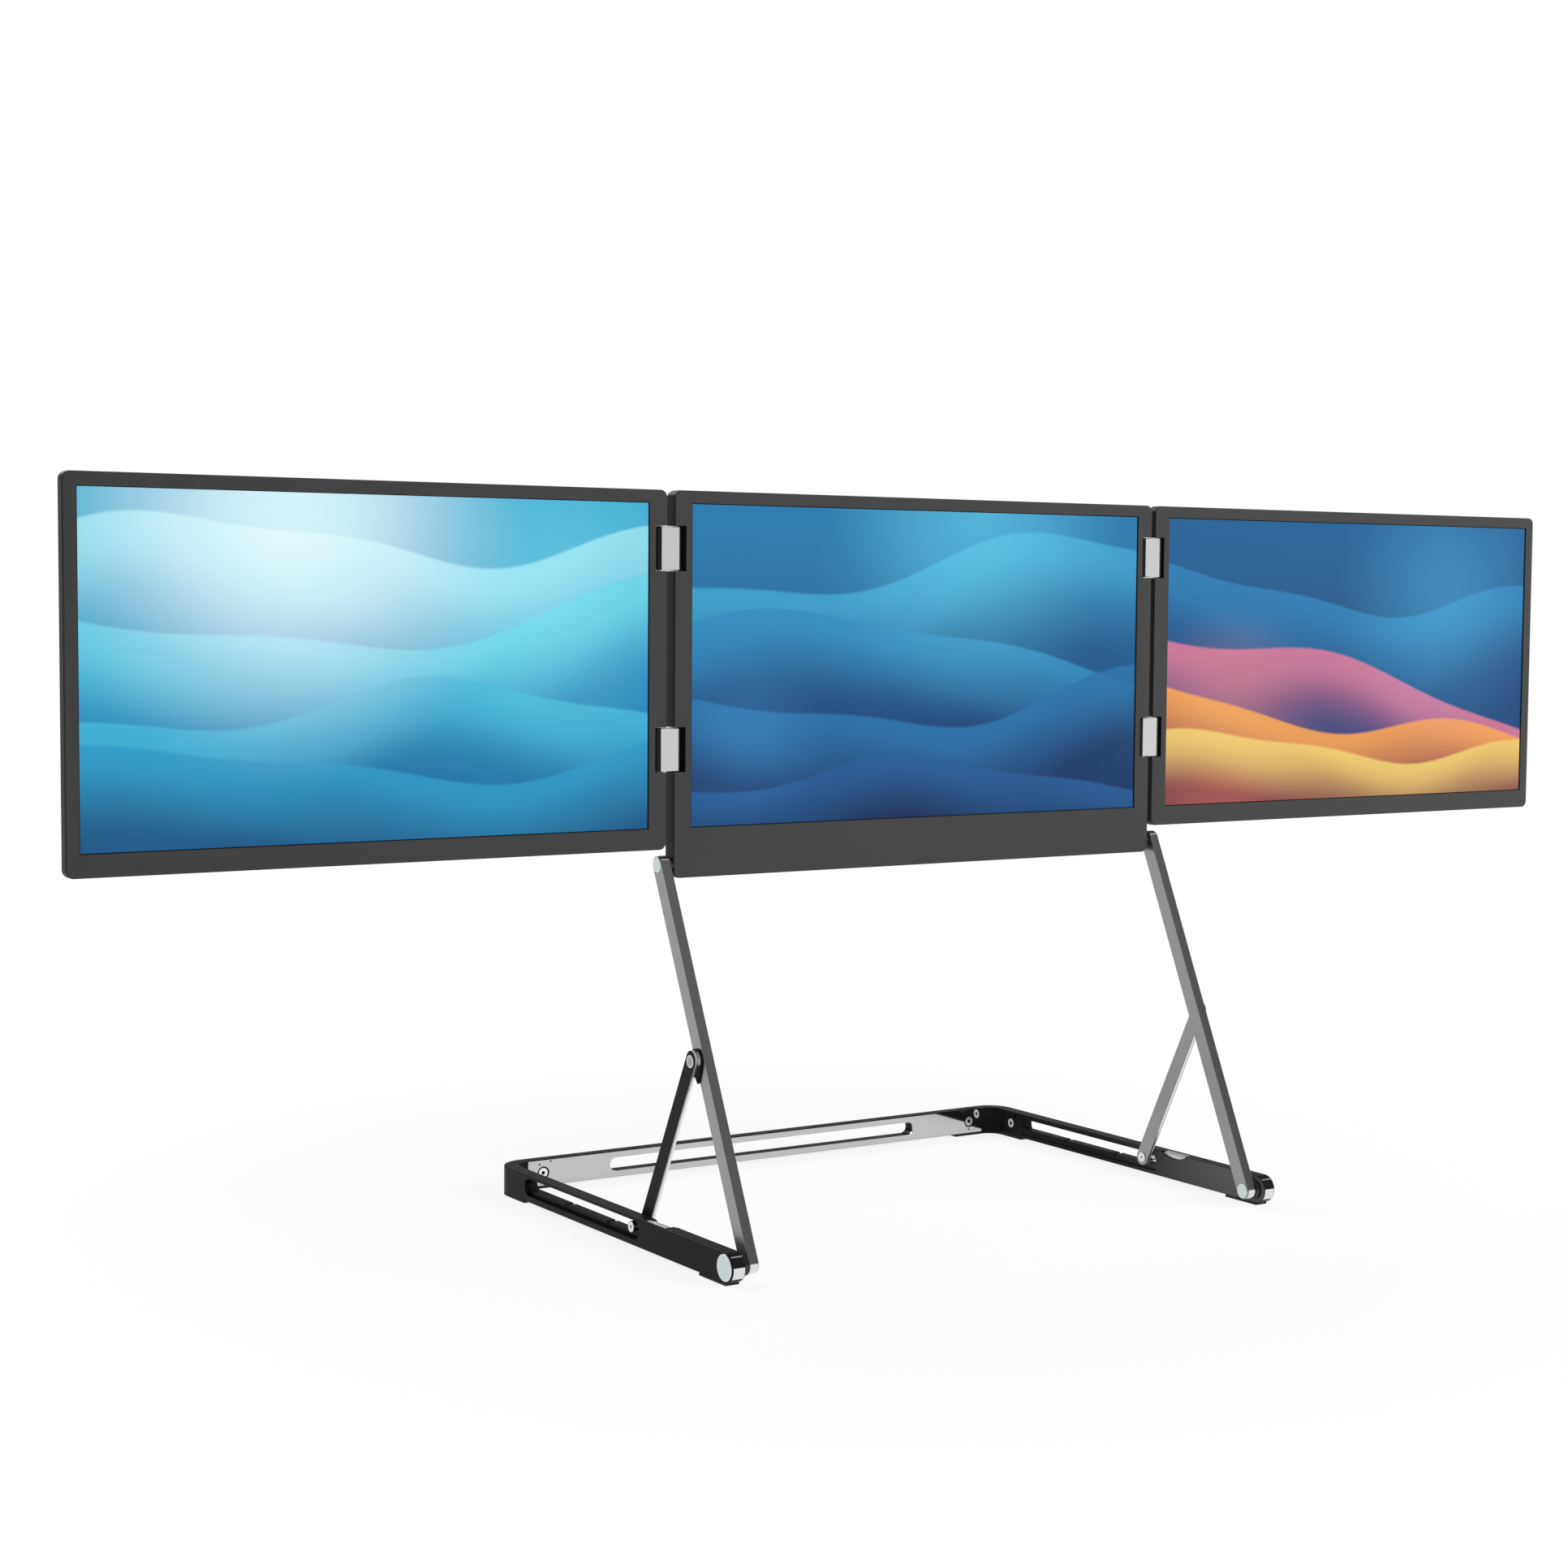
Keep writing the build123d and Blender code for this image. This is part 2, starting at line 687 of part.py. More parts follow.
# ------------------------------------------------------------------ arms
for side, sign in sides:
    with BuildPart() as arm:
        # Flat arm with round ends, from the knuckle up to the tilt hinge
        with BuildSketch(leaning_plane(sign * arm_inner, pivot_y, pivot_z, arm_angle)):
            with Locations((arm_length / 2, 0)):
                SlotCenterToCenter(arm_length, arm_width)
        extrude(amount=sign * arm_thickness)
        fillet(arm.edges().filter_by(Axis.X, reverse=True), radius=arm_edge_round)
        with BuildSketch(side_plane(sign * arm_inner)):
            with Locations((pivot_y, pivot_z)):
                Circle(pivot_pin_radius + running_clearance)
            with Locations((tilt_y, tilt_z)):
                Circle(tilt_pin_radius)
        extrude(amount=sign * arm_thickness, mode=Mode.SUBTRACT)
        with BuildSketch(side_plane(sign * arm_inner)):
            with Locations((pivot_y, pivot_z)):
                Circle(arm_cap_radius)
        extrude(amount=sign * (arm_cap_thickness - cap_proud), mode=Mode.SUBTRACT)
        with BuildSketch(side_plane(sign * arm_outer)):
            with Locations((tilt_y, tilt_z)):
                Circle(arm_cap_radius)
        extrude(amount=-sign * (arm_cap_thickness - cap_proud), mode=Mode.SUBTRACT)
        with BuildSketch(side_plane(sign * arm_outer)):
            with Locations((lug_y, lug_z)):
                Circle(strut_pin_radius)
        extrude(amount=-sign * strut_pin_depth, mode=Mode.SUBTRACT)
    arm.part.label = f"{side}_arm"
    export_step(arm.part, f"parts/{side}_arm.step")

with BuildPart() as strut_lugs:
    # Thin lugs on the outer sides of the arms: round at the pin, with a tail down the arm
    for _, sign in sides:
        with BuildSketch(leaning_plane(sign * arm_outer, lug_y, lug_z, arm_angle)):
            with Locations((0, lug_shift)):
                Circle(lug_radius)
            with Locations((-lug_tail_length, -lug_tail_shift)):
                Circle(lug_tail_radius)
            make_hull()
            Circle(strut_pin_radius, mode=Mode.SUBTRACT)
        extrude(amount=sign * lug_thickness)
strut_lugs.part.label = "strut_lugs"
export_step(strut_lugs.part, "parts/strut_lugs.step")

with BuildPart() as arm_lower_caps:
    # Caps over the pivot pins, on the inner sides of the arms
    for _, sign in sides:
        with BuildSketch(side_plane(sign * (arm_inner - cap_proud))):
            with Locations((pivot_y, pivot_z)):
                Circle(arm_cap_radius)
        extrude(amount=sign * arm_cap_thickness)
arm_lower_caps.part.label = "arm_lower_caps"
export_step(arm_lower_caps.part, "parts/arm_lower_caps.step")

with BuildPart() as arm_upper_caps:
    # Caps over the tilt pins, on the outer sides of the arms
    for _, sign in sides:
        with BuildSketch(side_plane(sign * (arm_outer + cap_proud))):
            with Locations((tilt_y, tilt_z)):
                Circle(arm_cap_radius)
        extrude(amount=-sign * arm_cap_thickness)
    cap_rims = arm_upper_caps.edges().group_by(Axis.X)
    fillet(cap_rims[0] + cap_rims[-1], radius=cap_round)
arm_upper_caps.part.label = "arm_upper_caps"
export_step(arm_upper_caps.part, "parts/arm_upper_caps.step")

with BuildPart() as strut_pivot_pins:
    # Pins fixed in the lugs, on which the struts swing
    for _, sign in sides:
        with BuildSketch(side_plane(sign * (arm_outer - strut_pin_depth))):
            with Locations((lug_y, lug_z)):
                Circle(strut_pin_radius)
        extrude(amount=sign * (strut_pin_depth + strut_outer + strut_pin_end - arm_outer))
strut_pivot_pins.part.label = "strut_pivot_pins"
export_step(strut_pivot_pins.part, "parts/strut_pivot_pins.step")

tilt_pin_outer = arm_outer + cap_proud - arm_cap_thickness
with BuildPart() as tilt_hinge_pins:
    # Pins fixed in the arms, gripped by the friction hubs of the centre casing
    for _, sign in sides:
        with BuildSketch(side_plane(sign * (centre_half - tilt_pin_depth))):
            with Locations((tilt_y, tilt_z)):
                Circle(tilt_pin_radius)
        extrude(amount=sign * (tilt_pin_outer - centre_half + tilt_pin_depth))
tilt_hinge_pins.part.label = "tilt_hinge_pins"
export_step(tilt_hinge_pins.part, "parts/tilt_hinge_pins.step")

# ------------------------------------------------------------------ struts
for side, sign in sides:
    with BuildPart() as strut:
        # Outer layer of the strut, from the slide pin up to the lug
        with BuildSketch(leaning_plane(sign * strut_seam, slide_y, slot_z, strut_angle)):
            with Locations(((strut_length + strut_overhang) / 2, 0)):
                SlotCenterToCenter(strut_length + strut_overhang, strut_width)
        extrude(amount=sign * strut_bar_thickness)
        outer_face = strut.faces().sort_by_distance((sign * bar_outer, slide_y, slot_z))[0]
        fillet(outer_face.edges(), radius=strut_round)
        with BuildSketch(side_plane(sign * strut_seam)):
            with Locations((lug_y, lug_z)):
                Circle(strut_pin_radius + running_clearance)
            with Locations((slide_y, slot_z)):
                Circle(slide_pin_radius)
        extrude(amount=sign * strut_bar_thickness, mode=Mode.SUBTRACT)
    strut.part.label = f"{side}_strut"
    export_step(strut.part, f"parts/{side}_strut.step")

with BuildPart() as strut_liners:
    # Inner layers of the struts
    for _, sign in sides:
        with BuildSketch(leaning_plane(sign * strut_inner, slide_y, slot_z, strut_angle)):
            with Locations(((strut_length + strut_overhang) / 2, 0)):
                SlotCenterToCenter(strut_length + strut_overhang, strut_width)
            with Locations((strut_length, 0)):
                Circle(strut_pin_radius + running_clearance, mode=Mode.SUBTRACT)
            Circle(slide_pin_radius, mode=Mode.SUBTRACT)
        extrude(amount=sign * strut_liner_thickness)
strut_liners.part.label = "strut_liners"
export_step(strut_liners.part, "parts/strut_liners.step")

slide_head_inner = bar_outer - pocket_depth + assembly_gap
with BuildPart() as slide_pins:
    # Headed pins that run in the side bars' slots
    for _, sign in sides:
        with BuildSketch(side_plane(sign * (strut_inner - slide_rivet_thickness))):
            with Locations((slide_y, slot_z)):
                Circle(slide_rivet_radius)
        extrude(amount=sign * slide_rivet_thickness)
        with BuildSketch(side_plane(sign * strut_inner)):
            with Locations((slide_y, slot_z)):
                Circle(slide_pin_radius)
        extrude(amount=sign * (slide_head_inner - strut_inner))
        with BuildSketch(side_plane(sign * slide_head_inner)):
            with Locations((slide_y, slot_z)):
                Circle(slide_head_radius)
        extrude(amount=sign * slide_head_thickness)
        with BuildSketch(side_plane(sign * (slide_head_inner + slide_head_thickness))):
            with Locations((slide_y, slot_z)):
                Circle(slide_socket_radius)
        extrude(amount=-sign * slide_socket_depth, mode=Mode.SUBTRACT)
slide_pins.part.label = "slide_pins"
export_step(slide_pins.part, "parts/slide_pins.step")

# ------------------------------------------------------------------ hinge links
link_levels = (("upper", upper_link_z), ("lower", lower_link_z))
for side, sign in sides:
    centre_pin = sign * (centre_half - hinge_pin_inset)
    side_pin = sign * (side_inner + hinge_pin_inset)
    for level, height in link_levels:
        with BuildPart() as link:
            # Block with two parallel pin bores
            with BuildSketch(Plane.XY.offset(height - link_height / 2)):
                with Locations(((centre_pin + side_pin) / 2, hinge_y)):
                    SlotCenterToCenter(abs(side_pin - centre_pin), 2 * link_end_radius)
                with Locations((centre_pin, hinge_y), (side_pin, hinge_y)):
                    Circle(hinge_pin_radius, mode=Mode.SUBTRACT)
            extrude(amount=link_height)
            link_ends = link.faces().filter_by(Axis.Z)
            fillet([edge for end in link_ends for edge in end.outer_wire().edges()], radius=link_round)
        link.part.label = f"{side}_{level}_link"
        export_step(link.part, f"parts/{side}_{level}_link.step")

    with BuildPart() as hinge_pins:
        # Pins through the links, their ends turning in the casings' brackets
        pin_length = link_height + 2 * (link_play + recess_wall + hinge_pin_reach)
        for _, height in link_levels:
            with BuildSketch(Plane.XY.offset(height - pin_length / 2)):
                with Locations((centre_pin, hinge_y), (side_pin, hinge_y)):
                    Circle(hinge_pin_radius)
            extrude(amount=pin_length)
    hinge_pins.part.label = f"{side}_hinge_pins"
    export_step(hinge_pins.part, f"parts/{side}_hinge_pins.step")


# ------------------------------------------------------------------ casings
@dataclass(frozen=True)
class Screen:
    """One display casing: its outline and which of its sides carry hinges."""

    name: str
    low_x: float
    high_x: float
    display_x: float
    bottom: float
    front: float
    depth: float
    hinge_sides: tuple

    @property
    def middle_x(self) -> float:
        return (self.low_x + self.high_x) / 2

    @property
    def middle_z(self) -> float:
        return (self.bottom + casing_top) / 2

    @property
    def width(self) -> float:
        return self.high_x - self.low_x

    @property
    def height(self) -> float:
        return casing_top - self.bottom

    @property
    def seam(self) -> float:
        """Y of the joint between the bezel and the cover."""
        return self.front + bezel_thickness

    @property
    def back(self) -> float:
        return self.front + self.depth

    @property
    def inside(self) -> float:
        """Y of the inner face of the cover's back."""
        return self.back - cover_back

    @property
    def walls(self) -> list:
        """Each hinged wall's X with the direction from it into the casing."""
        return [(self.high_x, -1) if way > 0 else (self.low_x, 1) for way in self.hinge_sides]

    def screw_places(self) -> list:
        """Screw centres in X and Z: two rows of three, close to the long edges."""
        columns = (self.low_x + casing_corner, self.middle_x, self.high_x - casing_corner)
        rows = (self.bottom + cover_screw_inset, casing_top - cover_screw_inset)
        return [(x, z) for x in columns for z in rows]


chin_inside = centre_front + centre_depth - cover_back
chin_board_face = chin_inside - board_thickness
usb_y = chin_board_face - usb_height / 2
video_y = chin_board_face - video_height / 2
button_y = chin_board_face - switch_size / 2
port_mouth = centre_bottom + assembly_gap
switch_bottom = centre_bottom + button_stem_rise + button_travel + button_play
button_places = [
    ("power_button", power_button_offset),
    ("brightness_up_button", power_button_offset + button_pitch),
    ("brightness_down_button", power_button_offset + 2 * button_pitch),
]
display_z = (display_bottom + display_top) / 2
side_display_x = side_inner + hinge_side_border + display_width / 2
screens = (
    Screen("left", -side_outer, -side_inner, -side_display_x, side_bottom, side_front, side_depth, (1,)),
    Screen("centre", -centre_half, centre_half, 0.0, centre_bottom, centre_front, centre_depth, (-1, 1)),
    Screen("right", side_inner, side_outer, side_display_x, side_bottom, side_front, side_depth, (-1,)),
)


def recess_sketch(screen: Screen, margin: float) -> Sketch:
    """Hinge recesses of a casing, in X and Z, each grown by margin inwards and along."""
    with BuildSketch(mode=Mode.PRIVATE) as recesses:
        for wall, inward in screen.walls:
            depth = recess_depth + margin
            for _, height in link_levels:
                with Locations((wall + inward * (depth / 2 - cover_wall), height)):
                    Rectangle(depth + 2 * cover_wall, link_height + 2 * (link_play + margin))
    return recesses.sketch


for screen in screens:
    screw_places = screen.screw_places()
    display_front = screen.front + lip_thickness
    backlight_back = display_front + display_thickness + backlight_thickness

    with BuildPart() as bezel:
        # Front frame with a window for the picture and a rebate for the display panel
        with BuildSketch(front_plane(screen.seam)):
            with Locations((screen.middle_x, screen.middle_z)):
                RectangleRounded(screen.width, screen.height, casing_corner)
        extrude(amount=bezel_thickness)
        fillet(bezel.faces().sort_by(Axis.Y)[0].edges(), radius=bezel_round)
        with BuildSketch(front_plane(screen.seam)):
            with Locations((screen.display_x, display_z)):
                Rectangle(display_width, display_height)
            add(recess_sketch(screen, 0))
        extrude(amount=bezel_thickness, mode=Mode.SUBTRACT)
        with BuildSketch(front_plane(screen.seam)):
            with Locations((screen.display_x, display_z)):
                Rectangle(
                    display_width + 2 * (lip_overlap + assembly_gap),
                    display_height + 2 * (lip_overlap + assembly_gap),
                )
        extrude(amount=bezel_thickness - lip_thickness, mode=Mode.SUBTRACT)
        with BuildSketch(front_plane(screen.seam)):
            with Locations(*screw_places):
                Circle(cover_screw_radius)
        extrude(amount=bezel_thickness - lip_thickness, mode=Mode.SUBTRACT)
    bezel.part.label = f"{screen.name}_bezel"
    export_step(bezel.part, f"parts/{screen.name}_bezel.step")

    with BuildPart() as rear_cover:
        # Tray with a rounded back, walled round the hinge recesses
        with BuildSketch(front_plane(screen.back)):
            with Locations((screen.middle_x, screen.middle_z)):
                RectangleRounded(screen.width, screen.height, casing_corner)
        extrude(amount=screen.back - screen.seam)
        fillet(rear_cover.faces().sort_by(Axis.Y)[-1].edges(), radius=casing_back_round)
        with BuildSketch(front_plane(screen.inside)):
            with Locations((screen.middle_x, screen.middle_z)):
                RectangleRounded(
                    screen.width - 2 * cover_wall,
                    screen.height - 2 * cover_wall,
                    casing_corner - cover_wall,
                )
            add(recess_sketch(screen, recess_wall), mode=Mode.SUBTRACT)
        extrude(amount=screen.inside - screen.seam, mode=Mode.SUBTRACT)
        with BuildSketch(front_plane(screen.back)):
            add(recess_sketch(screen, 0))
        extrude(amount=screen.depth, mode=Mode.SUBTRACT)
        # Screw bosses, and sunk holes from the back
        with BuildSketch(front_plane(screen.inside)):
            with Locations(*screw_places):
                Circle(screw_boss_radius)
        extrude(amount=screen.inside - screen.seam)
        with BuildSketch(front_plane(screen.back)):
            with Locations(*screw_places):
                Circle(cover_screw_radius)
        extrude(amount=screen.depth, mode=Mode.SUBTRACT)
        with BuildSketch(front_plane(screen.back)):
            with Locations(*screw_places):
                Circle(cover_screw_head)
        extrude(amount=cover_screw_sink, mode=Mode.SUBTRACT)
        # Holes for the hinge pins through the ends of the recesses
        for wall, inward in screen.walls:
            for _, height in link_levels:
                with BuildSketch(Plane.XY.offset(height - pin_length / 2)):
                    with Locations((wall + inward * hinge_pin_inset, hinge_y)):
                        Circle(hinge_pin_radius + pin_hole_play)
                extrude(amount=pin_length, mode=Mode.SUBTRACT)
        if screen.name == "centre":
            # Vents, port mouths, button holes and the bores of the tilt hubs
            with BuildSketch(front_plane(screen.back)):
                with Locations((0, casing_top - vent_drop)):
                    with GridLocations(vent_pitch, 0, vent_count, 1):
                        SlotOverall(vent_height, vent_width, rotation=90)
            extrude(amount=cover_back, mode=Mode.SUBTRACT)
            with BuildSketch(Plane.XY.offset(screen.bottom)):
                with Locations((usb_offset, usb_y)):
                    with GridLocations(usb_pitch, 0, usb_count, 1):
                        SlotOverall(usb_width + 2 * assembly_gap, usb_height + 2 * assembly_gap)
                with Locations((video_offset, video_y)):
                    Rectangle(video_width + 2 * assembly_gap, video_height + 2 * assembly_gap)
                with Locations(*[(x, button_y) for _, x in button_places]):
                    SlotOverall(button_width + 2 * button_play, button_thickness + 2 * button_play)
            extrude(amount=cover_wall, mode=Mode.SUBTRACT)
            with BuildSketch(side_plane(-centre_half)):
                with Locations((tilt_y, tilt_z)):
                    Circle(hub_radius)
            extrude(amount=2 * centre_half, mode=Mode.SUBTRACT)
    rear_cover.part.label = f"{screen.name}_rear_cover"
    export_step(rear_cover.part, f"parts/{screen.name}_rear_cover.step")

    with BuildPart() as display:
        # Flat display panel behind the bezel's lip
        with BuildSketch(front_plane(display_front + display_thickness)):
            with Locations((screen.display_x, display_z)):
                Rectangle(display_width + 2 * lip_overlap, display_height + 2 * lip_overlap)
        extrude(amount=display_thickness)
    display.part.label = f"{screen.name}_display"
    export_step(display.part, f"parts/{screen.name}_display.step")

    with BuildPart() as backlight:
        # Light guide in its tray, thinner above the rail of lamps along its foot
        guide_width = display_width + 2 * (lip_overlap - backlight_margin)
        guide_height = display_height + 2 * (lip_overlap - backlight_margin)
        with BuildSketch(front_plane(backlight_back)):
            with Locations((screen.display_x, display_z)):
                Rectangle(guide_width, guide_height)
        extrude(amount=backlight_thickness)
        with BuildSketch(front_plane(backlight_back)):
            with Locations((screen.display_x, display_z + led_rail_height / 2)):
                Rectangle(guide_width - led_rail_height, guide_height - 2 * led_rail_height)
        extrude(amount=backlight_emboss, mode=Mode.SUBTRACT)
    backlight.part.label = f"{screen.name}_backlight"
    export_step(backlight.part, f"parts/{screen.name}_backlight.step")

    with BuildPart() as hinge_brackets:
        # Knuckles on leaves, above and below each recess
        for wall, inward in screen.walls:
            pin_x = wall + inward * hinge_pin_inset
            for _, height in link_levels:
                for end in (-1, 1):
                    near = height + end * (link_height / 2 + link_play + recess_wall)
                    knuckle = hinge_pin_radius + running_clearance + bracket_wall
                    with BuildSketch(Plane.XY.offset(near)):
                        with Locations((pin_x, hinge_y)):
                            Circle(knuckle)
                        with Locations((pin_x, (hinge_y + screen.inside) / 2)):
                            Rectangle(2 * knuckle, screen.inside - hinge_y)
                        leaf_x = pin_x + inward * bracket_leaf_reach / 2
                        with Locations((leaf_x, screen.inside - bracket_leaf / 2)):
                            Rectangle(bracket_leaf_reach, bracket_leaf)
                        with Locations((pin_x, hinge_y)):
                            Circle(hinge_pin_radius + running_clearance, mode=Mode.SUBTRACT)
                    extrude(amount=end * bracket_height)
    hinge_brackets.part.label = f"{screen.name}_hinge_brackets"
    export_step(hinge_brackets.part, f"parts/{screen.name}_hinge_brackets.step")

    with BuildPart() as cover_screws:
        # Screws from the back of the cover into the bezel
        screw_tip = screen.front + lip_thickness
        with BuildSketch(front_plane(screen.back)):
            with Locations(*screw_places):
                Circle(cover_screw_radius)
        extrude(amount=screen.back - screw_tip)
        with BuildSketch(front_plane(screen.back)):
            with Locations(*screw_places):
                Circle(cover_screw_head)
        extrude(amount=cover_screw_sink)
        with BuildSketch(front_plane(screen.back)):
            with Locations(*screw_places):
                RegularPolygon(screw_socket_radius, side_count=6)
        extrude(amount=screw_socket_depth, mode=Mode.SUBTRACT)
    cover_screws.part.label = f"{screen.name}_cover_screws"
    export_step(cover_screws.part, f"parts/{screen.name}_cover_screws.step")

# ------------------------------------------------------------------ boards
for screen in screens:
    board_face = screen.inside - board_thickness
    is_centre = screen.name == "centre"
    board_width = centre_board_width if is_centre else side_board_width
    board_height = centre_board_height if is_centre else side_board_height
    board_rise = centre_board_rise if is_centre else side_board_rise
    chip_count = centre_chip_count if is_centre else side_chip_count
    board_z = screen.bottom + board_rise + board_height / 2
    with BuildPart() as board:
        # Circuit board flat against the cover's back, its chips facing forwards
        with BuildSketch(front_plane(screen.inside)):
            with Locations((screen.display_x, board_z)):
                Rectangle(board_width, board_height)
        extrude(amount=board_thickness)
        with BuildSketch(front_plane(board_face)):
            with Locations((screen.display_x, board_z)):
                with GridLocations(chip_pitch, 0, chip_count, 1):
                    Rectangle(chip_size, chip_size)
        extrude(amount=chip_height)
        if is_centre:
            # Push switches above the buttons
            with BuildSketch(front_plane(board_face)):
                with Locations(*[(x, switch_bottom + switch_size / 2) for _, x in button_places]):
                    Rectangle(switch_size, switch_size)
            extrude(amount=switch_size)
    board.part.label = f"{screen.name}_board"
    export_step(board.part, f"parts/{screen.name}_board.step")

with BuildPart() as usb_ports:
    # Oval sockets with a contact tongue, mouths on the underside
    with BuildSketch(Plane.XY.offset(port_mouth)):
        with Locations((usb_offset, usb_y)):
            with GridLocations(usb_pitch, 0, usb_count, 1):
                SlotOverall(usb_width, usb_height)
    extrude(amount=usb_length)
    with BuildSketch(Plane.XY.offset(port_mouth)):
        with Locations((usb_offset, usb_y)):
            with GridLocations(usb_pitch, 0, usb_count, 1):
                SlotOverall(usb_width - 2 * usb_shell, usb_height - 2 * usb_shell)
                SlotOverall(usb_width - usb_height, usb_tongue, mode=Mode.SUBTRACT)
    extrude(amount=usb_length - usb_tongue, mode=Mode.SUBTRACT)
usb_ports.part.label = "usb_ports"
export_step(usb_ports.part, "parts/usb_ports.step")

with BuildPart() as video_port:
    # Flat-topped socket with tapered sides and a contact tongue
    with BuildSketch(Plane.XY.offset(port_mouth)):
        with Locations((video_offset, video_y)):
            Trapezoid(video_width, video_height, video_taper)
    extrude(amount=video_length)
    with BuildSketch(Plane.XY.offset(port_mouth)):
        with Locations((video_offset, video_y)):
            Trapezoid(video_width - 2 * video_side_wall, video_height - 2 * usb_shell, video_taper)
            Rectangle(video_tongue_width, usb_tongue, mode=Mode.SUBTRACT)
    extrude(amount=video_length - usb_tongue, mode=Mode.SUBTRACT)
video_port.part.label = "video_port"
export_step(video_port.part, "parts/video_port.step")

with BuildPart() as tilt_hinge_hubs:
    # Friction barrels on leaves inside the chin, each with a collar outside the wall
    for _, sign in sides:
        hub_start = sign * (centre_half - hub_length)
        with BuildSketch(side_plane(hub_start)):
            with Locations((tilt_y, tilt_z)):
                Circle(hub_radius)
        extrude(amount=sign * hub_length)
        with BuildSketch(side_plane(sign * centre_half)):
            with Locations((tilt_y, tilt_z)):
                Circle(hub_flange_radius)
        extrude(amount=sign * (arm_gap - arm_face_clearance))
        with BuildSketch(side_plane(hub_start)):
            with Locations(((tilt_y + chin_inside) / 2, tilt_z)):
                Rectangle(chin_inside - tilt_y, hub_web)
            with Locations((chin_inside - hub_leaf / 2, tilt_z)):
                Rectangle(hub_leaf, hub_leaf_height)
        extrude(amount=sign * (hub_length - hub_leaf_gap))
        with BuildSketch(side_plane(sign * (centre_half - tilt_pin_depth - assembly_gap))):
            with Locations((tilt_y, tilt_z)):
                Circle(tilt_pin_radius + running_clearance)
        extrude(amount=sign * (tilt_pin_depth + arm_gap), mode=Mode.SUBTRACT)
tilt_hinge_hubs.part.label = "tilt_hinge_hubs"
export_step(tilt_hinge_hubs.part, "parts/tilt_hinge_hubs.step")

for name, place in button_places:
    with BuildPart() as button:
        # Oval cap with a retaining flange and a stem below its switch
        with BuildSketch(Plane.XY.offset(centre_bottom - button_proud)):
            with Locations((place, button_y)):
                SlotOverall(button_width, button_thickness)
        extrude(amount=button_proud + cover_wall + running_clearance)
        fillet(button.faces().sort_by(Axis.Z)[0].edges(), radius=cap_round)
        with BuildSketch(Plane.XY.offset(centre_bottom + cover_wall + running_clearance)):
            with Locations((place, button_y)):
                SlotOverall(button_width + 2 * button_flange, button_thickness + 2 * button_flange)
        extrude(amount=button_flange_thickness)
        with BuildSketch(Plane.XY.offset(centre_bottom + cover_wall)):
            with Locations((place, button_y)):
                Rectangle(button_stem, button_stem)
        extrude(amount=button_stem_rise - cover_wall)
    button.part.label = name
    export_step(button.part, f"parts/{name}.step")
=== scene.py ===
"""Dresses the laptop screen extender: finishes, small trim, studio and camera.

Metres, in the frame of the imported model. +X is the user's right, +Y points to the back, +Z is up.
Sizes written in the classes are millimetres, as on a workshop drawing.
"""
import logging
from dataclasses import dataclass
from enum import Enum
from math import cos, radians, sin, tau
from typing import Mapping, Sequence

import bmesh
import bpy
from mathutils import Matrix, Vector


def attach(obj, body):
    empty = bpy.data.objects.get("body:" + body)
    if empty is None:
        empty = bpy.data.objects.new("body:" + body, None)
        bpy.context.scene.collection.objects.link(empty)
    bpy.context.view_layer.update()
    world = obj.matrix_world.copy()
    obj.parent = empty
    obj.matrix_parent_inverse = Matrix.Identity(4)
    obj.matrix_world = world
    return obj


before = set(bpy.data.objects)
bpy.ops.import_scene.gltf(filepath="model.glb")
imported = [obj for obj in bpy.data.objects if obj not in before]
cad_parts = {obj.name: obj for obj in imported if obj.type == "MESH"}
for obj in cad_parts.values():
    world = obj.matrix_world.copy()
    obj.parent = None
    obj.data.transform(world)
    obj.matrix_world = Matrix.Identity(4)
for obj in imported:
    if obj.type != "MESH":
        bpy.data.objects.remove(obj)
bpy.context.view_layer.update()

MILLIMETRE = 0.001
LOG = logging.getLogger("screen_extender")

Colour = tuple[float, float, float]
Form = bmesh.types.BMesh
Pair = tuple[float, float]
Triple = tuple[float, float, float]
Socket = bpy.types.NodeSocket
Value = float | Socket


def tint(red: int, green: int, blue: int) -> Colour:
    """Turns a colour as a screen shows it into the linear light that a shader takes.

    Args:
        red: Red from 0 to 255.
        green: Green from 0 to 255.
        blue: Blue from 0 to 255.

    Returns:
        The three linear parts, from 0 to 1.
    """
    def linear(part: int) -> float:
        """Linear light of one part."""
        share = part / 255
        return share / 12.92 if share <= 0.04045 else ((share + 0.055) / 1.055) ** 2.4

    return linear(red), linear(green), linear(blue)


def grey(level: int) -> Colour:
    """Neutral grey of that screen level, in linear light."""
    return tint(level, level, level)


def at(x: float, y: float, z: float) -> Vector:
    """Point in metres from one in millimetres."""
    return Vector((x, y, z)) * MILLIMETRE


BLACK = grey(0)
# painted shade and reflection: near black for the hinge links' rounded ends
BARREL_SHADE = (0.006, 0.006, 0.006)
# painted shade: near black for the part of the latch that lies inside the bar
BURIED_SHADE = (0.008, 0.008, 0.008)
WHITE = grey(255)
BAND_ROOT = 0.1  # how deep a band or ring of trim sinks into what it lies on
BAND_THICKNESS = 0.06  # how far it stands off it
PIVOT = (-140.25, 10.3)  # Y and Z of the arms' pivots in the base
TILT_AXIS = (-38.884, 230.873)  # Y and Z of the displays' tilt hinge


class Axis(Enum):
    """Axis of the frame that a pattern or a turned piece follows."""

    ACROSS = (1.0, 0.0, 0.0)
    ALONG = (0.0, 1.0, 0.0)
    UP = (0.0, 0.0, 1.0)


class Side(Enum):
    """Side of the stand, with its sign along X."""

    LEFT = -1
    RIGHT = 1

    @property
    def word(self) -> str:
        """Name of the side as the nodes spell it."""
        return self.name.lower()


